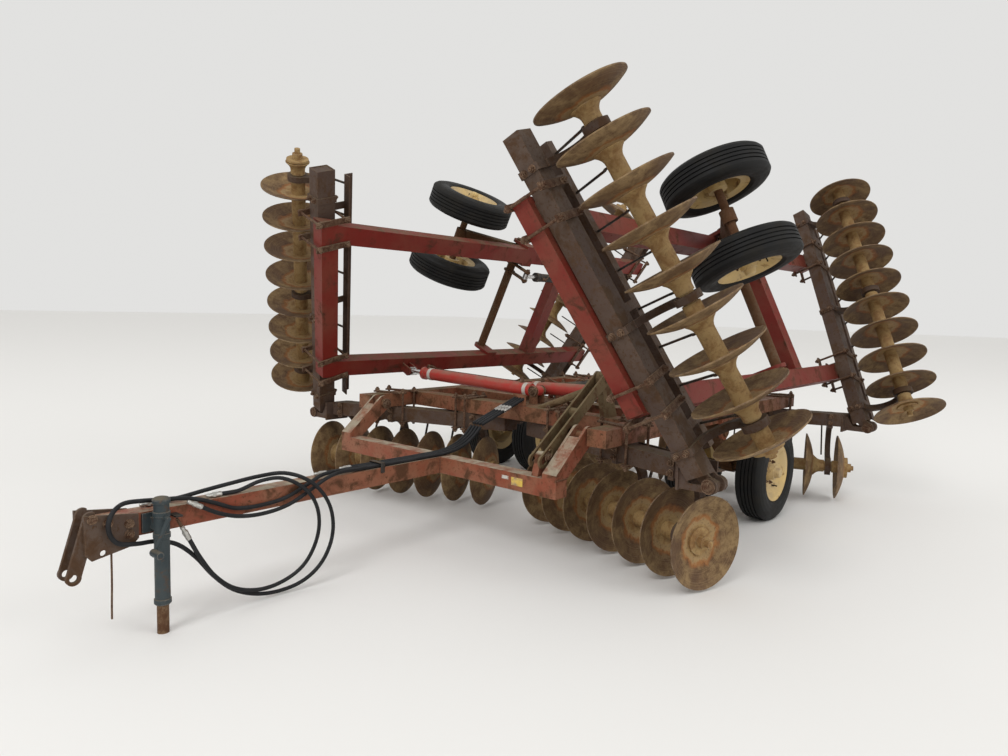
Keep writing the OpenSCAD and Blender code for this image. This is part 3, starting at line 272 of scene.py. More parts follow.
def close(obj, bevel=0.0, smooth=35):
    """Leaves edit mode with merged points and outward faces, the place in the mesh, and rounded edges."""
    bpy.ops.mesh.select_all(action="SELECT")
    bpy.ops.mesh.remove_doubles(threshold=0.00001)
    bpy.ops.mesh.normals_make_consistent(inside=False)
    bpy.ops.object.mode_set(mode="OBJECT")
    bpy.ops.object.transform_apply(location=True, rotation=True, scale=True)
    if bevel:
        edges = obj.modifiers.new("edges", "BEVEL")
        edges.width = bevel
        edges.segments = 2
        edges.limit_method = "ANGLE"
        bpy.ops.object.modifier_apply(modifier="edges")
    bpy.ops.object.shade_smooth_by_angle(angle=radians(smooth))
    return obj


def turned(rings, vertices=20, smooth=35):
    """A round piece drawn up the Z axis: each ring is (radius, height)."""
    radius, height = rings[0]
    obj = start("circle", vertices=vertices, radius=radius, fill_type="NGON", location=(0, 0, height))
    bpy.ops.mesh.select_all(action="SELECT")
    for next_radius, next_height in rings[1:]:
        extrude(0, 0, next_height - height)
        grow = next_radius / radius
        bpy.ops.transform.resize(value=(grow, grow, 1), center_override=(0, 0, next_height))
        radius, height = next_radius, next_height
    return close(obj, smooth=smooth)


def plate(size, bevel=0.0015, centre=(0, 0, 0)):
    """A flat bar or plate with rounded edges."""
    obj = start("cube", size=1, location=centre)
    bpy.ops.mesh.select_all(action="SELECT")
    bpy.ops.transform.resize(value=size, center_override=centre)
    return close(obj, bevel)


def finish_piece(obj, name, body, finish=None, place=None):
    """Names a piece, carries it to its place, gives it its finish and lets it ride on its body."""
    if place:
        obj.data.transform(place)
    obj.name = name
    obj.data.name = name
    if finish:
        obj.data.materials.clear()
        obj.data.materials.append(FINISH[finish])
    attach(obj, body)
    return obj


def copies_of(master, places):
    made = []
    for place in places:
        copy = master.copy()
        copy.data = master.data.copy()
        copy.data.transform(place)
        if place.determinant() < 0:
            copy.data.flip_normals()
        bpy.context.scene.collection.objects.link(copy)
        made.append(copy)
    return made


def join(objects):
    unselect()
    for obj in objects:
        obj.select_set(True)
    bpy.context.view_layer.objects.active = objects[0]
    if len(objects) > 1:
        bpy.ops.object.join()
    return bpy.context.view_layer.objects.active


COUNT = {"pieces": 0, "copies": 0}


def scatter(master, name, body, places, finish=None):
    """Copies of one master at several places, joined as one piece of a body."""
    piece = finish_piece(join(copies_of(master, places)), name, body, finish)
    COUNT["pieces"] += 1
    COUNT["copies"] += len(places)
    return piece


def drop(*masters):
    for master in masters:
        bpy.data.objects.remove(master)


def as_mesh(obj, smooth):
    """Turns a curve into a mesh and shades it smooth below an angle in degrees."""
    unselect()
    obj.select_set(True)
    bpy.context.view_layer.objects.active = obj
    bpy.ops.object.convert(target="MESH")
    bpy.ops.object.shade_smooth_by_angle(angle=radians(smooth))
    return bpy.context.object


def tube_along(name, points, radius, sides=2):
    """A thin rod or pipe bent through some points, made a mesh."""
    return as_mesh(bezier(name, [Vector(p) for p in points], radius, sides, 4), 50)

# %% [markdown]
# ## Node trees
# The sky and every material are node trees. A node is added with its settings, a sum is one node, and a
# smooth step turns a measure into a mask.

# %% Small helpers for node trees
def add_node(tree, kind, **settings):
    """A node whose plain settings are set as attributes and whose inputs are set by their names."""
    node = tree.nodes.new(kind)
    for key, value in settings.items():
        if hasattr(node, key):
            setattr(node, key, value)
        else:
            node.inputs[key.replace("_", " ")].default_value = value
    return node


def new_group(name, outputs, inputs):
    tree = bpy.data.node_groups.new(name, "ShaderNodeTree")
    for label, kind, value in inputs:
        socket = tree.interface.new_socket(label, in_out="INPUT", socket_type=kind)
        if value is not None:
            socket.default_value = value
    for label, kind in outputs:
        tree.interface.new_socket(label, in_out="OUTPUT", socket_type=kind)
    return tree, tree.nodes.new("NodeGroupInput"), tree.nodes.new("NodeGroupOutput")


def range_of(tree, value, low, high, to_low=0.0, to_high=1.0):
    """A smooth step: value between low and high becomes to_low to to_high."""
    node = add_node(tree, "ShaderNodeMapRange", interpolation_type="SMOOTHSTEP")
    node.inputs["From Min"].default_value = low
    node.inputs["From Max"].default_value = high
    node.inputs["To Min"].default_value = to_low
    node.inputs["To Max"].default_value = to_high
    tree.links.new(value, node.inputs["Value"])
    return node.outputs["Result"]


def maths(tree, operation, a, b):
    node = add_node(tree, "ShaderNodeMath", operation=operation)
    for socket, value in zip(node.inputs, (a, b)):
        if isinstance(value, (int, float)):
            socket.default_value = value
        else:
            tree.links.new(value, socket)
    return node.outputs[0]

# %% [markdown]
# ## Floor and light
# A pale floor and an overcast sky suit a machine that is all edges and gaps. The sky is a soft, even
# light. One broad lamp high in front gives the tubes a lit side, and a weaker one fills in from the left
# wing's side. What the camera sees behind the machine is set apart with Light Path, so that the
# background can be pale without more light falling on the paint.

# %% Floor, lamps and sky
unselect()
bpy.ops.mesh.primitive_plane_add(size=160, location=(0, 0, 0))
floor = bpy.context.object
floor.name = "floor"
floor_paint = bpy.data.materials.new("floor")
floor_paint.use_nodes = True
floor_shader = floor_paint.node_tree.nodes["Principled BSDF"]
floor_shader.inputs["Base Color"].default_value = (0.78, 0.775, 0.76, 1)
floor_shader.inputs["Roughness"].default_value = 0.85
floor.data.materials.append(floor_paint)
LAMP_AIM = Vector((0, 0, 1.0))


def lamp(name, place, size, power):
    data = bpy.data.lights.new(name, "AREA")
    data.shape = "DISK"
    data.size = size
    data.energy = power
    obj = in_scene(name, data)
    obj.location = place
    obj.rotation_euler = (LAMP_AIM - Vector(place)).to_track_quat("-Z", "Y").to_euler()


lamp("key", (6.0, -22.0, 20.0), 12.0, 2600)
lamp("fill", (20.0, 5.0, 12.0), 14.0, 1000)

sky = bpy.data.worlds.new("sky")
bpy.context.scene.world = sky
sky.use_nodes = True
tree = sky.node_tree
tree.nodes.clear()
seen = add_node(tree, "ShaderNodeBackground", Color=(0.76, 0.757, 0.745, 1))
lit = add_node(tree, "ShaderNodeBackground", Color=(0.97, 0.96, 0.94, 1), Strength=0.92)
path = add_node(tree, "ShaderNodeLightPath")
looked_at = maths(tree, "MAXIMUM", path.outputs["Is Camera Ray"], path.outputs["Is Glossy Ray"])
looked_at = maths(tree, "MAXIMUM", looked_at, path.outputs["Is Transmission Ray"])
blend = add_node(tree, "ShaderNodeMixShader")
for source, socket in ((looked_at, "Fac"), (lit.outputs[0], 1), (seen.outputs[0], 2)):
    tree.links.new(source, blend.inputs[socket])
sky_out = add_node(tree, "ShaderNodeOutputWorld")
tree.links.new(blend.outputs[0], sky_out.inputs["Surface"])
bpy.context.scene.view_settings.view_transform = "Standard"
print("lamps and sky are set")

# %% [markdown]
# ## Shared effects
# Every finish on this machine is old. Four effects come back in each material: patches where something
# has spread, a fine grain, dirt that lies on faces that look up, and edges that are worn. Each is a node
# group, so it is drawn once and tuned by its inputs wherever it is used. A group hands out masks only;
# the shader itself stays in the material.

# %% The four groups
VECTOR, NUMBER = "NodeSocketVector", "NodeSocketFloat"
patches, p_in, p_out = new_group("patches", [("Mask", NUMBER)], [
    ("Vector", VECTOR, None), ("Scale", NUMBER, 4.0), ("Cover", NUMBER, 0.5), ("Soft", NUMBER, 0.06)])
noise = add_node(patches, "ShaderNodeTexNoise", Detail=7.0, Roughness=0.66, Distortion=0.4)
patches.links.new(p_in.outputs["Vector"], noise.inputs["Vector"])
patches.links.new(p_in.outputs["Scale"], noise.inputs["Scale"])
edge = maths(patches, "SUBTRACT", 1.0, p_in.outputs["Cover"])
spread = add_node(patches, "ShaderNodeMapRange", interpolation_type="SMOOTHSTEP")
patches.links.new(noise.outputs["Fac"], spread.inputs["Value"])
patches.links.new(maths(patches, "SUBTRACT", edge, p_in.outputs["Soft"]), spread.inputs["From Min"])
patches.links.new(maths(patches, "ADD", edge, p_in.outputs["Soft"]), spread.inputs["From Max"])
patches.links.new(spread.outputs["Result"], p_out.inputs["Mask"])

grain, g_in, g_out = new_group("grain", [("Height", NUMBER)], [
    ("Vector", VECTOR, None), ("Scale", NUMBER, 60.0)])
fine = add_node(grain, "ShaderNodeTexNoise", Detail=5.0, Roughness=0.7)
for key in ("Vector", "Scale"):
    grain.links.new(g_in.outputs[key], fine.inputs[key])
grain.links.new(fine.outputs["Fac"], g_out.inputs["Height"])

settled, s_in, s_out = new_group("settled dirt", [("Mask", NUMBER)], [
    ("Vector", VECTOR, None), ("Normal", VECTOR, None), ("Amount", NUMBER, 0.6)])
split = add_node(settled, "ShaderNodeSeparateXYZ")
settled.links.new(s_in.outputs["Normal"], split.inputs[0])
up_face = range_of(settled, split.outputs["Z"], 0.25, 0.9)
cloud = add_node(settled, "ShaderNodeTexNoise", Scale=9.0, Detail=6.0, Roughness=0.7)
settled.links.new(s_in.outputs["Vector"], cloud.inputs["Vector"])
clumps = range_of(settled, cloud.outputs["Fac"], 0.35, 0.62)
lying = maths(settled, "MULTIPLY", up_face, clumps)
settled.links.new(maths(settled, "MULTIPLY", lying, s_in.outputs["Amount"]), s_out.inputs["Mask"])

worn, w_in, w_out = new_group("worn edges", [("Mask", NUMBER)], [
    ("Vector", VECTOR, None), ("Radius", NUMBER, 0.006), ("Scale", NUMBER, 25.0)])
round_normal = add_node(worn, "ShaderNodeBevel", samples=4)
worn.links.new(w_in.outputs["Radius"], round_normal.inputs["Radius"])
true_normal = add_node(worn, "ShaderNodeNewGeometry")
agree = add_node(worn, "ShaderNodeVectorMath", operation="DOT_PRODUCT")
worn.links.new(round_normal.outputs[0], agree.inputs[0])
worn.links.new(true_normal.outputs["Normal"], agree.inputs[1])
bent = maths(worn, "SUBTRACT", 1.0, agree.outputs["Value"])
breakup = add_node(worn, "ShaderNodeTexNoise", Detail=4.0, Roughness=0.7)
worn.links.new(w_in.outputs["Vector"], breakup.inputs["Vector"])
worn.links.new(w_in.outputs["Scale"], breakup.inputs["Scale"])
chips = range_of(worn, breakup.outputs["Fac"], 0.42, 0.6)
worn.links.new(maths(worn, "MULTIPLY", range_of(worn, bent, 0.02, 0.18), chips), w_out.inputs["Mask"])
print("effect groups:", [g.name for g in (patches, grain, settled, worn)])

# %% [markdown]
# ## Weathered paint
# Paint on steel fades first, then rusts in patches and along its edges, and collects dirt on top. The
# order of the mixes below is that order in time. One function builds it, and each finish gives its own
# colours and amounts.

# %% A material that ages in layers
def effect(tree, group, here, normal=None, **values):
    """One of the four groups placed in a material. Gives back the mask that it hands out."""
    node = add_node(tree, "ShaderNodeGroup", node_tree=group)
    tree.links.new(here, node.inputs["Vector"])
    if normal:
        tree.links.new(normal, node.inputs["Normal"])
    for key, value in values.items():
        node.inputs[key].default_value = value
    return node.outputs[0]


def mix_colour(tree, mask, low, high):
    node = add_node(tree, "ShaderNodeMix", data_type="RGBA")
    tree.links.new(mask, node.inputs["Factor"])
    for socket, value in ((node.inputs[6], low), (node.inputs[7], high)):
        if isinstance(value, tuple):
            socket.default_value = (*value, 1)
        else:
            tree.links.new(value, socket)
    return node.outputs[2]


def mix_value(tree, mask, low, high):
    node = add_node(tree, "ShaderNodeMix", data_type="FLOAT")
    tree.links.new(mask, node.inputs["Factor"])
    for socket, value in ((node.inputs[2], low), (node.inputs[3], high)):
        if isinstance(value, (int, float)):
            socket.default_value = value
        else:
            tree.links.new(value, socket)
    return node.outputs[0]


def new_material(name, specular=None):
    """A material, its tree and shader, and the outputs for a place and a normal on the object."""
    mat = bpy.data.materials.new(name)
    mat.use_nodes = True
    tree = mat.node_tree
    bsdf = tree.nodes["Principled BSDF"]
    if specular is not None:
        bsdf.inputs["Specular IOR Level"].default_value = specular
    at = add_node(tree, "ShaderNodeTexCoord")
    return mat, tree, bsdf, at.outputs["Object"], at.outputs["Normal"]


def relief(tree, bsdf, height, strength, distance):
    bump = add_node(tree, "ShaderNodeBump", Strength=strength, Distance=distance)
    tree.links.new(height, bump.inputs["Height"])
    tree.links.new(bump.outputs[0], bsdf.inputs["Normal"])


def part_of(tree, mask, share):
    """A mask at less than its full strength."""
    return maths(tree, "MULTIPLY", mask, share)


def weathered(name, paint, faded, rust, dirt, rust_cover=0.4, fade_cover=0.5, dirt_amount=0.7,
              edge=(0.30, 0.20, 0.13), shine=0.5, scale=1.0, bump=0.35):
    """Painted or rusted steel: paint, its faded part, rust patches, worn edges and settled dirt."""
    mat, tree, bsdf, here, normal = new_material(name, 0.22)
    fade = effect(tree, patches, here, Scale=2.2 * scale, Cover=fade_cover, Soft=0.14)
    spots = effect(tree, patches, here, Scale=9.0 * scale, Cover=rust_cover, Soft=0.09)
    flecks = effect(tree, patches, here, Scale=55.0 * scale, Cover=rust_cover - 0.05, Soft=0.07)
    edges = effect(tree, worn, here)
    top = effect(tree, settled, here, normal, Amount=dirt_amount)
    skin = effect(tree, grain, here, Scale=90.0 * scale)
    rusted = maths(tree, "MAXIMUM", spots, flecks)
    colour = mix_colour(tree, fade, paint, faded)
    dark_rust = tuple(v * 0.45 for v in rust)
    colour = mix_colour(tree, rusted, colour, mix_colour(tree, skin, dark_rust, rust))
    colour = mix_colour(tree, edges, colour, edge)
    colour = mix_colour(tree, top, colour, dirt)
    tree.links.new(colour, bsdf.inputs["Base Color"])
    rough = mix_value(tree, rusted, shine, 0.85)
    tree.links.new(mix_value(tree, top, rough, 0.95), bsdf.inputs["Roughness"])
    lift = maths(tree, "ADD", part_of(tree, rusted, 0.5), part_of(tree, skin, 0.5))
    relief(tree, bsdf, lift, bump, 0.002)
    return mat

# %% The finishes of this machine
FINISH = {
    "frame_paint": weathered(
        "faded red frame", (0.205, 0.033, 0.018), (0.225, 0.078, 0.044), (0.110, 0.045, 0.021),
        (0.135, 0.092, 0.050), rust_cover=0.43, edge=(0.17, 0.085, 0.05), dirt_amount=0.9),
    "old_frame": weathered(
        "browned red frame", (0.190, 0.052, 0.026), (0.200, 0.092, 0.048), (0.110, 0.052, 0.024),
        (0.150, 0.112, 0.062), rust_cover=0.46, fade_cover=0.55, edge=(0.17, 0.095, 0.055), dirt_amount=1.0),
    "drawbar_paint": weathered(
        "chalky red drawbar", (0.215, 0.052, 0.026), (0.235, 0.100, 0.056), (0.115, 0.050, 0.024),
        (0.360, 0.315, 0.235), rust_cover=0.43, edge=(0.19, 0.10, 0.06), dirt_amount=0.95),
    "mast_paint": weathered(
        "olive brown mast", (0.150, 0.098, 0.050), (0.125, 0.092, 0.046), (0.115, 0.055, 0.025),
        (0.160, 0.130, 0.072), rust_cover=0.44, edge=(0.19, 0.13, 0.08), shine=0.7),
    "wing_paint": weathered(
        "red wing frame", (0.160, 0.015, 0.010), (0.165, 0.036, 0.022), (0.080, 0.032, 0.016),
        (0.13, 0.092, 0.056), rust_cover=0.39, edge=(0.15, 0.075, 0.045)),
    "beam_paint": weathered(
        "dark gang beam", (0.070, 0.044, 0.034), (0.090, 0.060, 0.044), (0.095, 0.050, 0.026),
        (0.13, 0.10, 0.062), rust_cover=0.46, edge=(0.14, 0.085, 0.050), shine=0.62),
    "link_paint": weathered(
        "rusted brown steel", (0.115, 0.054, 0.028), (0.100, 0.066, 0.036), (0.130, 0.060, 0.026),
        (0.115, 0.090, 0.045), rust_cover=0.52, edge=(0.17, 0.11, 0.065), shine=0.7),
    "rod_steel": weathered(
        "black scraper rod", (0.022, 0.021, 0.022), (0.045, 0.038, 0.032), (0.09, 0.045, 0.024),
        (0.10, 0.08, 0.055), rust_cover=0.44, shine=0.6),
    "jack_paint": weathered(
        "blue grey jack", (0.024, 0.036, 0.042), (0.044, 0.055, 0.058), (0.13, 0.068, 0.034),
        (0.14, 0.115, 0.080), rust_cover=0.36, edge=(0.19, 0.17, 0.15), shine=0.5, scale=2.0),
    "jack_rust": weathered(
        "rusty jack leg", (0.145, 0.085, 0.044), (0.16, 0.105, 0.062), (0.11, 0.050, 0.024),
        (0.14, 0.11, 0.07), rust_cover=0.5, shine=0.75, scale=2.0),
    "rim_paint": weathered(
        "cream rim", (0.56, 0.40, 0.165), (0.48, 0.36, 0.19), (0.20, 0.10, 0.045), (0.29, 0.23, 0.15),
        rust_cover=0.38, edge=(0.33, 0.22, 0.12), shine=0.5, scale=1.6),
    "fold_paint": weathered(
        "red cylinder", (0.40, 0.026, 0.022), (0.34, 0.060, 0.045), (0.16, 0.060, 0.030),
        (0.22, 0.165, 0.115), rust_cover=0.28, shine=0.36, scale=1.6),
    "lift_paint": weathered(
        "black cylinder", (0.022, 0.021, 0.020), (0.040, 0.035, 0.030), (0.10, 0.050, 0.026),
        (0.13, 0.105, 0.07), rust_cover=0.40, shine=0.45, scale=1.6),
    "pale_band": weathered(
        "pale cylinder band", (0.55, 0.53, 0.49), (0.45, 0.42, 0.38), (0.20, 0.11, 0.06),
        (0.30, 0.25, 0.19), rust_cover=0.34, shine=0.5, scale=3.0),
    "bolt_steel": weathered(
        "rusted bolt", (0.105, 0.055, 0.032), (0.135, 0.088, 0.055), (0.085, 0.038, 0.020),
        (0.14, 0.105, 0.07), rust_cover=0.5, shine=0.7, scale=4.0),
    "weld": weathered(
        "painted weld", (0.175, 0.045, 0.028), (0.150, 0.070, 0.045), (0.11, 0.048, 0.024),
        (0.15, 0.10, 0.06), rust_cover=0.5, shine=0.65, scale=3.0),
    "label_yellow": weathered(
        "bare yellow label", (0.62, 0.40, 0.035), (0.58, 0.42, 0.12), (0.30, 0.19, 0.07),
        (0.33, 0.26, 0.15), rust_cover=0.30, shine=0.4, scale=3.0, bump=0.1),
    "label_white": weathered(
        "bare white label", (0.56, 0.55, 0.52), (0.48, 0.46, 0.42), (0.28, 0.20, 0.13), (0.33, 0.28, 0.2),
        rust_cover=0.32, shine=0.4, scale=3.0, bump=0.1),
    # Near-black finish of the face set into open tube ends: painted shade of the hollow, not a colour of the
    # steel.
    "inside": weathered(
        "painted shade inside a tube", (0.012, 0.009, 0.008), (0.020, 0.014, 0.010), (0.030, 0.016, 0.010),
        (0.03, 0.02, 0.015), rust_cover=0.4, shine=0.9),
}
print(len(FINISH), "painted or rusted finishes")

# %% [markdown]
# ## Discs and spools
# The blades and the cast spools between them turn as one gang. The spools still carry an ochre coat of
# dried clay, while the blades are scoured and rusted, with a crust in the middle, a rust ring round it and
# fine rings that the soil has drawn. A Mapping node lays the gang's own axis along X, so the distance from
# that axis says what is spool and what is blade.

# %% A finish that knows the gang's axis
def gang_steel(name, row, wing, side):
    """Ochre spools, and blades with rust, dust and rings round the gang's own axis."""
    mat, tree, bsdf, here, _ = new_material(name, 0.25)
    line = row_line(row, wing, side)
    lay = add_node(tree, "ShaderNodeMapping", vector_type="TEXTURE")
    lay.inputs["Location"].default_value = line.translation
    lay.inputs["Rotation"].default_value = line.to_3x3().col[0].to_track_quat("X", "Z").to_euler()
    tree.links.new(here, lay.inputs["Vector"])
    parts = add_node(tree, "ShaderNodeSeparateXYZ")
    tree.links.new(lay.outputs[0], parts.inputs[0])
    y, z = parts.outputs["Y"], parts.outputs["Z"]
    square = maths(tree, "ADD", maths(tree, "MULTIPLY", y, y), maths(tree, "MULTIPLY", z, z))
    radius = maths(tree, "SQRT", square, 0.0)
    ragged = add_node(tree, "ShaderNodeTexNoise", Scale=13.0, Detail=5.0, Roughness=0.65)
    tree.links.new(here, ragged.inputs["Vector"])
    wander = part_of(tree, maths(tree, "SUBTRACT", ragged.outputs["Fac"], 0.5), 0.11)
    uneven = maths(tree, "ADD", radius, wander)
    blade = range_of(tree, radius, 0.084, 0.092)
    crust = range_of(tree, uneven, 0.118, 0.130, 1.0, 0.0)
    outside = range_of(tree, uneven, 0.124, 0.150, 1.0, 0.0)
    rust_ring = maths(tree, "MULTIPLY", range_of(tree, uneven, 0.106, 0.124), outside)
    dusty = effect(tree, patches, here, Scale=4.0, Cover=0.50, Soft=0.13)
    spots = effect(tree, patches, here, Scale=15.0, Cover=0.47, Soft=0.12)
    flecks = effect(tree, patches, here, Scale=70.0, Cover=0.40, Soft=0.10)
    skin = effect(tree, grain, here, Scale=110.0)
    rings = add_node(tree, "ShaderNodeTexNoise", noise_dimensions="1D", Detail=3.0, Roughness=0.6)
    rings.inputs["Scale"].default_value = 160.0
    tree.links.new(radius, rings.inputs["W"])
    colour = mix_colour(tree, dusty, (0.105, 0.056, 0.026), (0.250, 0.165, 0.078))
    drawn = range_of(tree, rings.outputs["Fac"], 0.52, 0.68)
    for mask, share, over in ((spots, 0.7, (0.070, 0.034, 0.016)), (drawn, 0.28, (0.29, 0.21, 0.12)),
                              (crust, 0.85, (0.315, 0.210, 0.098)), (rust_ring, 0.75, (0.260, 0.095, 0.026)),
                              (flecks, 0.55, (0.060, 0.028, 0.014))):
        colour = mix_colour(tree, part_of(tree, mask, share), colour, over)
    clay = mix_colour(tree, spots, (0.330, 0.220, 0.095), (0.215, 0.118, 0.045))
    clay = mix_colour(tree, part_of(tree, flecks, 0.5), clay, (0.12, 0.06, 0.03))
    colour = mix_colour(tree, blade, clay, colour)
    colour = mix_colour(tree, effect(tree, worn, here), colour, (0.28, 0.21, 0.14))
    tree.links.new(colour, bsdf.inputs["Base Color"])
    tree.links.new(mix_value(tree, dusty, 0.62, 0.85), bsdf.inputs["Roughness"])
    lift = maths(tree, "ADD", part_of(tree, spots, 0.35), part_of(tree, skin, 0.5))
    relief(tree, bsdf, maths(tree, "ADD", lift, part_of(tree, rings.outputs["Fac"], 0.15)), 0.45, 0.002)
    return mat


# %% [markdown]
# ## Rubber and plated rods
# Old tyre rubber is nearly black but dull, and greyer where dust has dried on it or settled. A cylinder's
# rod is plated and smooth, so it only needs a bright metal with a little pitting.

# %% Rubber, hose and chrome
def rubber(name, dark, dusty, dust, scale=1.0):
    mat, tree, bsdf, here, normal = new_material(name, 0.22)
    film = effect(tree, patches, here, Scale=7.0 * scale, Cover=dust, Soft=0.16)
    top = effect(tree, settled, here, normal, Amount=0.35)
    colour = mix_colour(tree, film, dark, dusty)
    colour = mix_colour(tree, top, colour, tuple(v * 1.6 for v in dusty))
    tree.links.new(colour, bsdf.inputs["Base Color"])
    tree.links.new(mix_value(tree, film, 0.55, 0.85), bsdf.inputs["Roughness"])
    relief(tree, bsdf, effect(tree, grain, here, Scale=220.0 * scale), 0.25, 0.001)
    return mat


def plated(name, colour, rough):
    mat, tree, bsdf, here, _ = new_material(name)
    marks = effect(tree, patches, here, Scale=60.0, Cover=0.38, Soft=0.05)
    tree.links.new(mix_colour(tree, marks, colour, (0.20, 0.13, 0.09)), bsdf.inputs["Base Color"])
    tree.links.new(mix_value(tree, marks, rough, 0.6), bsdf.inputs["Roughness"])
    bsdf.inputs["Metallic"].default_value = 1.0
    return mat


FINISH["tyre"] = rubber("old tyre rubber", (0.0060, 0.0060, 0.0062), (0.017, 0.0155, 0.013), 0.44)
FINISH["hose_rubber"] = rubber("hose rubber", (0.010, 0.010, 0.011), (0.026, 0.027, 0.029), 0.42, 2.0)
FINISH["chrome_rod"] = plated("plated rod", (0.62, 0.61, 0.60), 0.25)
FINISH["zinc"] = plated("zinc coupling", (0.50, 0.49, 0.46), 0.38)

# %% Dress the solids
REPAINT = {"main_frame": "old_frame", "tongue": "drawbar_paint", "cross_tube": "drawbar_paint",
           "level_mast": "mast_paint", "level_link": "mast_paint"}
for part in frame["record"]["subparts"]:
    name = part["node"]
    key = REPAINT.get(name, "wing_paint" if name.startswith("wing_frame") else part["material_slot"])
    if "gang" in name:
        side = LEFT if name.endswith("left") else RIGHT
        row = "front" if "front" in name else "rear"
        key = name
        FINISH[key] = gang_steel("steel of " + name.replace("_", " "), row, name.startswith("wing"), side)
    node = frame["nodes"][name]
    node.data.materials.clear()
    node.data.materials.append(FINISH[key])
for hose in HOSES.values():
    hose.data.materials.append(FINISH["hose_rubber"])
print(len(frame["nodes"]), "solids dressed")

# %% A nut on its bolt, with a washer
def nut_and_bolt():
    """A washer, a hexagon nut and the bolt's end with a chamfer, about 20 mm bolt size, standing on Z = 0."""
    obj = start("cylinder", vertices=12, radius=0.021, depth=0.003, location=(0, 0, 0.0015))
    more("cylinder", vertices=6, radius=0.0165, depth=0.013, location=(0, 0, 0.0095))
    pick(lambda middle, normal: normal.z > 0.9 and middle.z > 0.010)
    inset(0.0060)
    extrude(0, 0, 0.009)
    inset(0.0012)
    extrude(0, 0, 0.0012)
    return close(obj)


def hardware(master, name, body, places):
    """Rusty bolts, nuts, clamps or pins of one kind on one body."""
    return scatter(master, name, body, places, "bolt_steel")


nut = nut_and_bolt()
print("a nut has", len(nut.data.polygons), "faces")

# %% [markdown]
# ## Bolts through the bearing hangers
# Each bearing hangs from a strap that wraps the gang beam, and the strap is held by two bolts through the
# beam on each side. The strap's two faces stand 73 mm before and behind the beam's middle.

# %% Nuts on the hanger straps
BEARINGS = {("front", False): (-1.3705, -0.6835, -0.2255), ("rear", False): (-1.409, -0.722, -0.264),
            ("front", True): (0.2325, 0.9195, 1.8355), ("rear", True): (0.194, 1.110, 2.026)}
STRAP_FACE = BEAM_W / 2 + 0.008
STRAP_BOLT_HEIGHTS = (0.348, 0.402)


def strap_nuts(wing, side):
    places = []
    for (row, on_wing), spots in BEARINGS.items():
        for a in spots if on_wing == wing else ():
            for face in (-1, 1):
                for height in STRAP_BOLT_HEIGHTS:
                    spot = (a, BEAM_MID[row] + face * STRAP_FACE, height)
                    places.append(row_line(row, wing, side) @ facing(spot, (0, face, 0), 0.3))
    return places


hardware(nut, "hanger_nuts_centre", "centre_frame", strap_nuts(False, LEFT) + strap_nuts(False, RIGHT))
hardware(nut, "hanger_nuts_left", "wing_left", strap_nuts(True, LEFT))
hardware(nut, "hanger_nuts_right", "wing_right", strap_nuts(True, RIGHT))
print(COUNT)

# %% [markdown]
# ## Clamps between beams and frame
# The gang beams are not welded to the frame: they are clamped under its tubes, so that their angle can be
# set. A clamp is two flat bars over the tube, two under the beam, and four long bolts that pass beside
# both. It is drawn standing on the underside of the beam, with X along the upper bars.

# %% Clamps
CLAMP_H = TUBE_H + BEAM_H + 0.010
BAR_W, BAR_T, PAST_BOLT = 0.042, 0.012, 0.044


def clamp(half_x, half_y, under_x=False):
    """Bars over and under, four bolts and eight nuts. Bars run past the bolts by 22 mm."""
    bars = []
    along_x = (2 * half_x + PAST_BOLT, BAR_W, BAR_T)
    along_y = (BAR_W, 2 * half_y + PAST_BOLT, BAR_T)
    for s in (-1, 1):
        bars.append(plate(along_x, 0.002, (0, s * half_y, CLAMP_H + BAR_T / 2)))
        if under_x:
            bars.append(plate(along_x, 0.002, (0, s * half_y, -BAR_T / 2)))
        else:
            bars.append(plate(along_y, 0.002, (s * half_x, 0, -BAR_T / 2)))
    shank = turned([(0.0085, 0), (0.0085, CLAMP_H)], 10)
    corners = [(sx * half_x, sy * half_y) for sx in (-1, 1) for sy in (-1, 1)]
    bars += copies_of(shank, [shift(x, y, 0) for x, y in corners])
    bars += copies_of(nut, [shift(x, y, CLAMP_H + BAR_T) for x, y in corners])
    bars += copies_of(nut, [facing((x, y, -BAR_T), (0, 0, -1)) for x, y in corners])
    drop(shank)
    return join(bars)


over_rail = clamp(0.112, 0.082)
over_front_tube, over_rear_tube = clamp(0.098, 0.045, True), clamp(0.120, 0.045, True)
over_wing_tube = clamp(0.105, 0.088, True)
quarter = Matrix.Rotation(radians(90), 4, "Z")
BEAM_FOOT = 0.325
CLAMP_Z = 0.590
FRONT_TUBE_CLAMP = (0.420, 0.7485)
REAR_TUBE_CLAMP = (0.210, 2.651)
WING_TUBE_MID = -0.057


def on_beam(row, wing, side, out, behind):
    """The underside of a beam, that far out from the hinge on a line that far behind the discs."""
    return row_line(row, wing, side) @ shift(along(row, out, behind), behind, BEAM_FOOT)


rail_spots = [on_beam(row, False, side, RAIL_X - HINGE_X, BEAM_MID[row])
              for row in ("front", "rear") for side in (LEFT, RIGHT)]
hardware(over_rail, "clamps_rail", "centre_frame", rail_spots)
for name, master, (x, y) in (("clamps_front_tube", over_front_tube, FRONT_TUBE_CLAMP),
                             ("clamps_rear_tube", over_rear_tube, REAR_TUBE_CLAMP)):
    spots = [WORLD @ shift(side * x, y, CLAMP_Z) @ quarter for side in (LEFT, RIGHT)]
    hardware(master, name, "centre_frame", spots)
for label, side in SIDES.items():
    rear = [on_beam("rear", True, side, out, BEAM_MID["rear"]) for out in WING_RAILS]
    hardware(over_rail, "clamps_rear_" + label, "wing_" + label, rear)
    front = [on_beam("front", True, side, out, WING_TUBE_MID) @ quarter for out in WING_RAILS]
    hardware(over_wing_tube, "clamps_front_" + label, "wing_" + label, front)
drop(over_rail, over_front_tube, over_rear_tube, over_wing_tube)
print(COUNT)

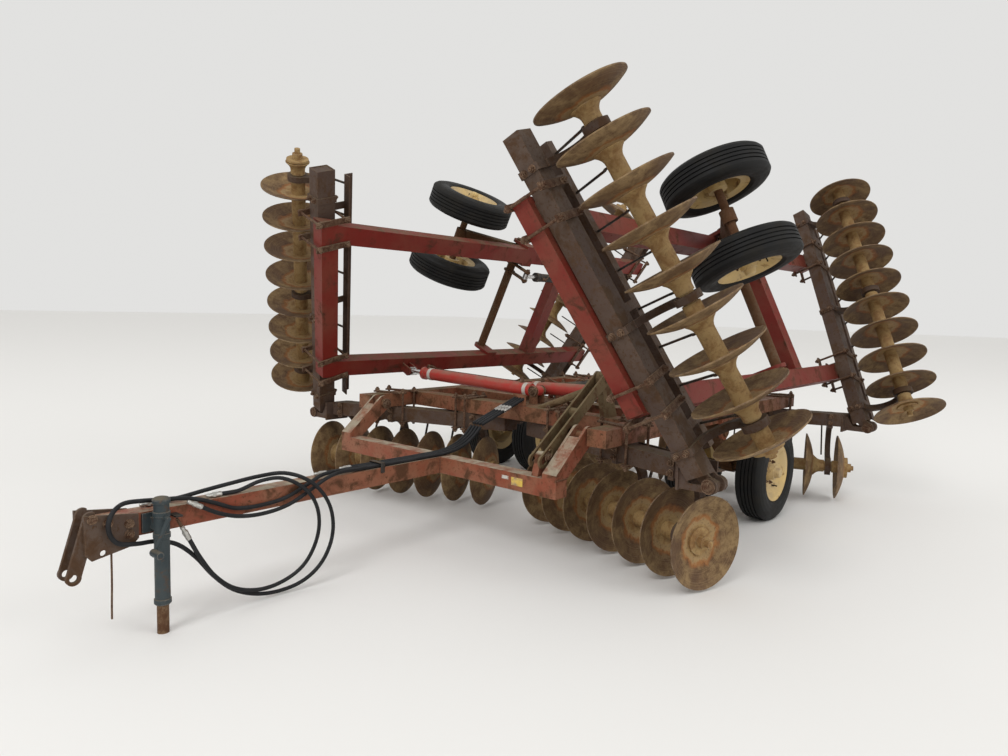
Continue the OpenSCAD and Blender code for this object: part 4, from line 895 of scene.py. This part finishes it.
# %% [markdown]
# ## Wheels
# Each rim is bolted to its hub with six bolts, the bearing is closed by a domed dust cap, and a valve stem
# stands out of the rim. They turn with the wheel, so they ride on the pair that they belong to.

# %% Hub caps, wheel bolts and valves
PAIR_HALF = 0.275
WHEEL_BOLTS, VALVE_TURN = 6, radians(205)
cap = turned([(0.040, 0.070), (0.040, 0.078), (0.036, 0.080), (0.035, 0.100), (0.031, 0.108), (0.020, 0.113),
              (0.006, 0.115)], 24)
lug = turned([(0.0140, 0.0), (0.0140, 0.004), (0.0105, 0.005), (0.0105, 0.014), (0.0062, 0.015),
              (0.0062, 0.021), (0.005, 0.022)], 8)
valve = turned([(0.0055, 0.0), (0.0055, 0.022), (0.0042, 0.023), (0.0042, 0.034), (0.005, 0.035),
                (0.005, 0.045), (0.004, 0.046)], 8)
outward = Matrix.Rotation(radians(90), 4, "Y")
for label, side in SIDES.items():
    for body, hub in (("wheels_centre_" + label, WORLD @ shift(side * RAIL_X, *CENTRE_AXLE)),
                      ("wheels_wing_" + label, station(True, side) @ shift(*WING_WHEEL))):
        caps, bolts, stems = [], [], []
        for s in (-1, 1):
            wheel = hub @ shift(s * PAIR_HALF, 0, 0) @ mirrored(s)
            caps.append(wheel @ outward)
            for k in range(WHEEL_BOLTS):
                spin = Matrix.Rotation(radians(60 * k + 17 * s), 4, "X")
                bolts.append(wheel @ spin @ shift(0.0245, 0, 0.085) @ outward)
            stems.append(wheel @ Matrix.Rotation(VALVE_TURN, 4, "X") @ shift(0.026, 0, 0.118) @ outward)
        scatter(cap, "hub_caps_" + body, body, caps, "rim_paint")
        scatter(lug, "wheel_bolts_" + body, body, bolts, "bolt_steel")
        scatter(valve, "valves_" + body, body, stems, "tyre")
drop(cap, lug, valve)
print(COUNT)

# %% [markdown]
# ## Pins
# Every link and cylinder turns on a pin that is kept in by a washer and a split pin. The end of a pin is a
# chamfered stub, and the split pin is a small ring through it.

# %% Pin ends with washers and split pins
def pin_end(radius):
    """The outer end of a pin of that radius, from the face that it comes out of."""
    end = turned([(radius * 1.7, 0), (radius * 1.7, 0.004), (radius, 0.0045), (radius, 0.012),
                  (radius * 0.85, 0.015)], 16)
    unselect()
    bpy.ops.mesh.primitive_torus_add(major_radius=radius * 0.62, minor_radius=0.0022, major_segments=14,
                                     minor_segments=5, location=(radius * 0.75, 0, 0.009),
                                     rotation=(radians(90), 0, 0.4))
    ring = bpy.context.object
    bpy.ops.object.transform_apply(location=True, rotation=True, scale=True)
    return join([end, ring])


def both_ends(frame_of, half, x, y, z, spin):
    """Matrices of the two ends of a pin that lies along X, half its length each way from a place."""
    return [frame_of @ facing((x + s * half, y, z), (s, 0, 0), spin) for s in (-1, 1)]


thick, middling, slim = pin_end(0.022), pin_end(0.016), pin_end(0.014)
centre_pins = [WORLD @ mirrored(side) @ facing((0.815, *DRAWBAR_PIVOT), (-1, 0, 0)) for side in (LEFT, RIGHT)]
for side in (LEFT, RIGHT):
    for s in (-1, 1):
        foot = (-side * FOLD_PIN_X, FOLD_PIN_Y[side] + s * 0.050, FOLD_PIN_Z)
        centre_pins.append(WORLD @ facing(foot, (0, s, 0), 0.6))
for side in (LEFT, RIGHT):
    for y, s in ((0.2732, -1), (0.4192, 1), (3.0856, -1), (3.2316, 1)):
        centre_pins.append(station(False, side) @ facing((0, y, 0), (0, s, 0), 1.1))
hardware(thick, "pin_ends_centre", "centre_frame", centre_pins)
hardware(middling, "pin_ends_mast", "centre_frame", both_ends(WORLD, 0.045, LINK_X, 0.660, 1.050, 0.3))
hardware(middling, "pin_ends_link", "drawbar", both_ends(WORLD, 0.045, LINK_X, 0.080, 0.640, 0.9))
hardware(slim, "pin_ends_lift", "centre_frame", both_ends(WORLD, 0.042, 0, *LIFT_BASE, 0.8))
hardware(slim, "pin_ends_lever", "rockshaft_centre", both_ends(WORLD, 0.047, 0, *LIFT_EYE, 0.2))
for label, side in SIDES.items():
    wing = station(True, side)
    hardware(slim, "pin_ends_lift_" + label, "wing_" + label,
             both_ends(wing, 0.042, WING_LIFT_U, *WING_LIFT_BASE, 0.8))
    hardware(slim, "pin_ends_lever_" + label, "rockshaft_" + label,
             both_ends(wing, 0.047, WING_LIFT_U, *WING_LIFT_EYE, 0.2))
drop(thick, middling, slim)
print(COUNT)

# %% [markdown]
# ## Cylinders
# The two fold cylinders lie over the frame in bright red with a pale band at each end; the lift cylinders
# are dark. Each has a band and a port at both ends, and a steel line along the barrel that carries the oil
# to the far end. A cylinder is drawn along its own X axis from the base pin.

# %% Bands, ports and lines of the cylinders
FOLD_TILT = atan2(0.0306930, 1)


def port(height):
    return turned([(0.013, 0), (0.013, height), (0.016, height + 0.001), (0.016, height + 0.012),
                   (0.011, height + 0.013), (0.011, height + 0.030), (0.009, height + 0.032)], 6)


def fold_axis(side):
    foot = shift(-FOLD_PIN_X, FOLD_PIN_Y[side], FOLD_PIN_Z)
    return WORLD @ mirrored(side) @ foot @ Matrix.Rotation(-FOLD_TILT, 4, "Y")


def line_up(base, eye):
    """Matrix that lays a cylinder's X axis from its base pin to its eye, both (back, up) in a Y-Z plane."""
    run = Vector((0, eye[0] - base[0], eye[1] - base[1])).normalized()
    side = Vector((1, 0, 0))
    return shift(0, *base) @ Matrix((run, side, run.cross(side))).transposed().to_4x4()


def fit_out(kind, label, axis, up, masters, places, line, line_r, band_finish):
    """Two bands, two ports and the oil line of one cylinder. Places and points lie along its axis."""
    body, slot = kind + "_barrel_" + label, kind + "_paint"
    bands = [axis @ shift(x, 0, 0) @ outward for x in places[0]]
    ports = [axis @ up @ shift(x, 0, 0) for x in places[1]]
    scatter(masters[0], kind + "_bands_" + label, body, bands, band_finish)
    scatter(masters[1], kind + "_ports_" + label, body, ports, "bolt_steel")
    name = kind + "_line_" + label
    finish_piece(tube_along(name, line, line_r), name, body, "bolt_steel", axis @ up)


band = turned([(0.0455, -0.016), (0.0475, -0.014), (0.0475, 0.014), (0.0455, 0.016)], 40)
small_band = turned([(0.0365, -0.009), (0.0380, -0.008), (0.0380, 0.008), (0.0365, 0.009)], 32)
big_port, small_port = port(0.040), port(0.032)
FOLD_LINE = [(1.100, 0, 0.066), (1.080, 0.022, 0.060), (1.030, 0.034, 0.042), (0.600, 0.034, 0.040),
             (0.240, 0.034, 0.042), (0.180, 0.030, 0.062), (0.150, 0.020, 0.078)]
LIFT_LINE = [(0.372, 0, 0.058), (0.350, 0.018, 0.052), (0.310, 0.029, 0.034), (0.200, 0.029, 0.032),
             (0.150, 0.026, 0.040), (0.125, 0.018, 0.066)]
UPRIGHT = Matrix.Identity(4)
for label, side in SIDES.items():
    fit_out("fold", label, fold_axis(side), UPRIGHT, (band, big_port), ((0.090, 1.060), (0.135, 1.100)),
            FOLD_LINE, 0.006, "pale_band")
LIFTS = {"centre": WORLD @ line_up(LIFT_BASE, LIFT_EYE)}
for label, side in SIDES.items():
    LIFTS[label] = station(True, side) @ shift(WING_LIFT_U, 0, 0) @ line_up(WING_LIFT_BASE, WING_LIFT_EYE)
for label, axis in LIFTS.items():
    turned_over = label == "centre" and axis.to_3x3().col[2].z < 0
    up = Matrix.Rotation(radians(180), 4, "X") if turned_over else UPRIGHT
    fit_out("lift", label, axis, up, (small_band, small_port), ((0.075, 0.395), (0.100, 0.372)),
            LIFT_LINE, 0.005, "lift_paint")
drop(band, small_band, big_port, small_port)
print("lines and ports on", len(SIDES) + len(LIFTS), "cylinders")

# %% [markdown]
# ## Open tube ends
# The frame is square tube, and where a tube is not closed one sees its wall and the dark inside. A ring as
# thick as the wall, with a near-black face set into it as painted shade of the hollow, gives that at the cost
# of a few faces.

# %% Ends of tubes and beams
def tube_end(width, height, wall=0.009):
    """An open end that faces +Z, with X along the width and Y along the height. The recessed middle face is
    near black: painted shade of the hollow.
    """
    obj = start("plane", size=1)
    bpy.ops.mesh.select_all(action="SELECT")
    bpy.ops.transform.resize(value=(width, height, 1), center_override=(0, 0, 0))
    inset(wall)
    pick(lambda middle, normal: abs(middle.x) > 0.001 or abs(middle.y) > 0.001)
    extrude(0, 0, 0.004)
    obj = close(obj)
    obj.data.materials.append(FINISH["beam_paint"])
    obj.data.materials.append(FINISH["inside"])
    # The middle face takes the near-black finish, which is painted shade of the tube's hollow.
    for face in obj.data.polygons:
        if abs(face.center.x) < 0.001 and abs(face.center.y) < 0.001:
            face.material_index = 1
    return obj


def end_at(place, heading, upward):
    """Matrix of an end: its Z along the heading, its Y along upward."""
    z, y = Vector(heading).normalized(), Vector(upward).normalized()
    return Matrix.Translation(place) @ Matrix((y.cross(z), y, z)).transposed().to_4x4()


RAIL_END_Y = 3.150
BEAM_END = {"front": 2.030, "rear": 2.160}
rail_end, beam_end = tube_end(TUBE_W, TUBE_H), tube_end(BEAM_W, BEAM_H)
rails = [WORLD @ end_at((side * RAIL_X, RAIL_END_Y, FRAME_TOP - TUBE_H / 2), (0, 1, 0), (0, 0, 1))
         for side in (LEFT, RIGHT)]
scatter(rail_end, "rail_ends", "centre_frame", rails)
for label, side in SIDES.items():
    places = []
    for row, a in BEAM_END.items():
        end = end_at((a, BEAM_MID[row], BEAM_FOOT + BEAM_H / 2), (1, 0, 0), (0, 0, 1))
        places.append(row_line(row, True, side) @ end)
    scatter(beam_end, "beam_ends_" + label, "wing_" + label, places)
drop(rail_end, beam_end)

# %% [markdown]
# ## Weld beads
# The tubes are welded where they meet. A weld is a thin, slightly rippled bead, so it is a curve with a
# small round bevel whose radius swells and shrinks every few millimetres.

# %% Weld beads
BEAD_R, BEAD_STEP, RIPPLE = 0.0045, 0.011, (0.8, 1.15)


def beads(name, loops, body, place):
    """Beads along loops of points, which a matrix carries to their place."""
    data = bpy.data.curves.new(name, "CURVE")
    data.dimensions = "3D"
    data.bevel_depth = BEAD_R
    data.bevel_resolution = 1
    for loop in loops:
        loop = [place @ Vector(p) for p in loop]
        points = []
        for a, b in zip(loop, loop[1:]):
            steps = max(2, int((b - a).length / BEAD_STEP))
            points += [a.lerp(b, k / steps) for k in range(steps)]
        points.append(loop[-1])
        spline = data.splines.new("POLY")
        spline.points.add(len(points) - 1)
        for k, (knot, here) in enumerate(zip(spline.points, points)):
            knot.co = (*here, 1)
            knot.radius = RIPPLE[k % 2]
    return finish_piece(as_mesh(in_scene(name, data), 60), name, body, "weld")


def frame_loop(x, y0, y1, z0, z1):
    return [(x, y0, z0), (x, y1, z0), (x, y1, z1), (x, y0, z1), (x, y0, z0)]


FRAME_LOW = FRAME_TOP - TUBE_H
loops = [frame_loop(side * (RAIL_X - TUBE_W / 2), y, y + TUBE_W, FRAME_LOW, FRAME_TOP)
         for side in (LEFT, RIGHT) for y in (0.690, 1.150, 2.620)]
for y in (0.690 + TUBE_W, 1.150):
    loops.append([(-0.170, y, 0.740), (-0.170, y, FRAME_TOP), (0.170, y, FRAME_TOP), (0.170, y, 0.740)])
beads("welds_frame", loops, "centre_frame", WORLD)
loops = [[(-0.050, 0, 0.435), (0.050, 0, 0.435), (0.050, 0, 0.535), (-0.050, 0, 0.535), (-0.050, 0, 0.435)]]
loops += [[(side * x, 0.002, 0.5355), (side * x, 0.100, 0.5355)]
          for side in (LEFT, RIGHT) for x in (0.845, 0.861, 0.924, 0.940)]
beads("welds_drawbar", loops, "drawbar", WORLD)
WING_TOP = 0.205
for label, side in SIDES.items():
    faces = (WING_RAILS[0] + TUBE_W / 2, WING_RAILS[1] - TUBE_W / 2)
    loops = [frame_loop(u, 2.400, 2.527, WING_TOP - TUBE_H, WING_TOP) for u in faces]
    for u in (0.449, 0.577, 1.486, 1.614):
        y = ROW_Y["front"] + u * tan(SWEEP["front"]) - 0.015 / cos(SWEEP["front"])
        if y > 0:
            loops.append([(u, y, WING_TOP - TUBE_H), (u, y, WING_TOP)])
    beads("welds_wing_" + label, loops, "wing_" + label, station(True, side))
print("welds are laid")

# %% [markdown]
# ## Drawbar fittings
# The hoses are kept together by a strap over the tongue; the last one hangs in a small holder beside the
# jack. The crosspiece carries bare label plates on its front. At the nose, bolts hold the straps, and a
# thin rod hangs down.

# %% Hose strap, holder and pipe
STRAP_HALF, STRAP_AT = 0.052, (0, -0.455, 0.562)
strap = start("plane", size=1, location=STRAP_AT)
bpy.ops.mesh.select_all(action="SELECT")
bpy.ops.transform.resize(value=(2 * STRAP_HALF, 0.030, 1), center_override=STRAP_AT)
for way in (-1, 1):
    mesh = bmesh.from_edit_mesh(strap.data)
    bpy.ops.mesh.select_mode(type="EDGE")
    bpy.ops.mesh.select_all(action="DESELECT")
    for edge in mesh.edges:
        edge.select_set(all(abs(v.co.x - way * STRAP_HALF) < 0.001 for v in edge.verts))
    bmesh.update_edit_mesh(strap.data)
    extrude(0, 0, -0.058)
strap = close(strap)
wall = strap.modifiers.new("wall", "SOLIDIFY")
wall.thickness = 0.004
wall.offset = 0
bpy.ops.object.modifier_apply(modifier="wall")
soften = strap.modifiers.new("soften", "BEVEL")
soften.width = 0.0012
bpy.ops.object.modifier_apply(modifier="soften")
finish_piece(strap, "hose_strap", "drawbar", "rod_steel", WORLD)
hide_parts("tongue_hoses")
holder = plate((0.066, 0.034, 0.008), 0.002, (0.083, -1.657, 0.504))
finish_piece(holder, "pipe_holder", "drawbar", "rod_steel", WORLD)
first, second = Vector(ROUTES["hose_loop"][0]), Vector(ROUTES["hose_loop"][1])
rise = (first - second).normalized()
pipe = tube_along("loop_pipe", [first + rise * reach for reach in (0.064, 0.085, 0.112)], 0.007, 3)
finish_piece(pipe, "loop_pipe", "drawbar", "bolt_steel", WORLD)

# %% Couplings of the hoses
def hose_end():
    """A crimped sleeve, a hexagon and the coupler's nose, up the Z axis from the hose's end."""
    sleeve = turned([(0.0118, -0.004), (0.0125, 0.000), (0.0125, 0.010), (0.0116, 0.011), (0.0116, 0.014),
                     (0.0125, 0.015), (0.0125, 0.024), (0.0100, 0.026)], 20)
    hexagon = turned([(0.0125, 0.025), (0.0136, 0.026), (0.0136, 0.039), (0.0125, 0.040)], 6)
    nose = turned([(0.0105, 0.039), (0.0105, 0.046), (0.0090, 0.047), (0.0090, 0.055), (0.0105, 0.056),
                   (0.0105, 0.063), (0.0080, 0.068), (0.0050, 0.070)], 20)
    return join([sleeve, hexagon, nose])


def at_hose_end(name, last=True):
    points = in_world(ROUTES[name])
    end, inner = (points[-1], points[-2]) if last else (points[0], points[1])
    return facing(end, end - inner)


def coupling(name, hose, last=True):
    return scatter(fitting, name, "drawbar", [at_hose_end(hose, last)], "zinc")


fitting = hose_end()
tips = {name: coupling("coupling_" + name, name) for name in ROUTES}
loop_top = coupling("coupling_hose_loop_top", "hose_loop", False)
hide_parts("couplings")
print(len(tips) + 1, "couplings")

# %% Hoses on the frame and their bulkhead
bulkhead = plate((0.110, 0.010, 0.080), 0.003, (0.095, 0.697, 0.840))
finish_piece(bulkhead, "hose_bulkhead", "centre_frame", "old_frame", WORLD)
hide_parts("frame_hoses")
feeds, sleeves, elbows = [], [], []
for k, x in enumerate((0.001, 0.027, 0.053, 0.079)):
    low, high = Vector((x, 0.344, 0.704)), Vector((0.057 + 0.025 * k, 0.696, 0.850))
    way = high - low
    feeds.append(tube_along("feed", [low, low + way * 0.5, high], HOSE_D / 2, 3))
    sleeves.append(WORLD @ facing(low + way * 0.52, way))
    elbows.append(WORLD @ facing(low + way * 0.66, -way))
finish_piece(join(feeds), "frame_feed_hoses", "centre_frame", "hose_rubber", WORLD)
sleeve = turned([(0.0105, -0.006), (0.0125, 0.000), (0.0125, 0.016), (0.0118, 0.017), (0.0118, 0.020),
                 (0.0125, 0.021), (0.0125, 0.034), (0.0105, 0.036)], 18)
scatter(sleeve, "frame_feed_sleeves", "centre_frame", sleeves + elbows, "zinc")
drop(sleeve, fitting)

# %% Bare labels on the crosspiece
LABEL_T = 0.0012
for colour, width, height, x, z in (("yellow", 0.082, 0.046, 0.668, 0.487),
                                    ("white", 0.050, 0.020, 0.580, 0.500)):
    label = plate((width, LABEL_T, height), 0.0004, (x, -0.0008, z))
    finish_piece(label, "bare_label_" + colour, "drawbar", "label_" + colour, WORLD)

# %% Bolts and the hanging rod at the hitch
places = []
for s in (-1, 1):
    for y, z in ((-1.850, 0.500), (-1.850, 0.455), (-1.935, 0.520), (-1.995, 0.545)):
        places.append(WORLD @ facing((s * 0.064, y, z), (s, 0, 0), 0.5))
hardware(nut, "hitch_bolts", "drawbar", places)
rod_points = [(0.044, -1.916, 0.440), (0.045, -1.917, 0.380), (0.047, -1.918, 0.250), (0.043, -1.919, 0.150),
              (0.047, -1.921, 0.096)]
hanging = tube_along("hitch_rod", rod_points, 0.0045)
finish_piece(hanging, "hitch_rod", "drawbar", "bolt_steel", WORLD)

# %% [markdown]
# ## Jack
# The jack's crank ends in a round grip, its head is closed by a low dome, and three collars stand out of
# its tube.

# %% Jack cap, grip and collars
JACK_X, JACK_Y = 0.113, -1.735
dome = turned([(0.0375, 0.594), (0.0365, 0.598), (0.028, 0.604), (0.014, 0.608), (0.004, 0.609)], 28)
finish_piece(dome, "jack_cap", "drawbar", "jack_paint", WORLD @ shift(JACK_X, JACK_Y, 0))
grip = turned([(0.013, 0), (0.0165, 0.004), (0.0175, 0.020), (0.0165, 0.050), (0.0175, 0.066), (0.014, 0.074),
               (0.006, 0.076)], 20)
finish_piece(grip, "jack_grip", "drawbar", "jack_paint",
             WORLD @ facing((0.160, -1.795, 0.385), (1, 0, 0)))
collar = turned([(0.0325, 0), (0.036, 0.002), (0.036, 0.022), (0.0325, 0.024)], 28)
scatter(collar, "jack_collars", "drawbar",
        [WORLD @ shift(JACK_X, JACK_Y, z) for z in (0.132, 0.425, 0.520)], "jack_paint")
drop(collar, nut)
print(COUNT)
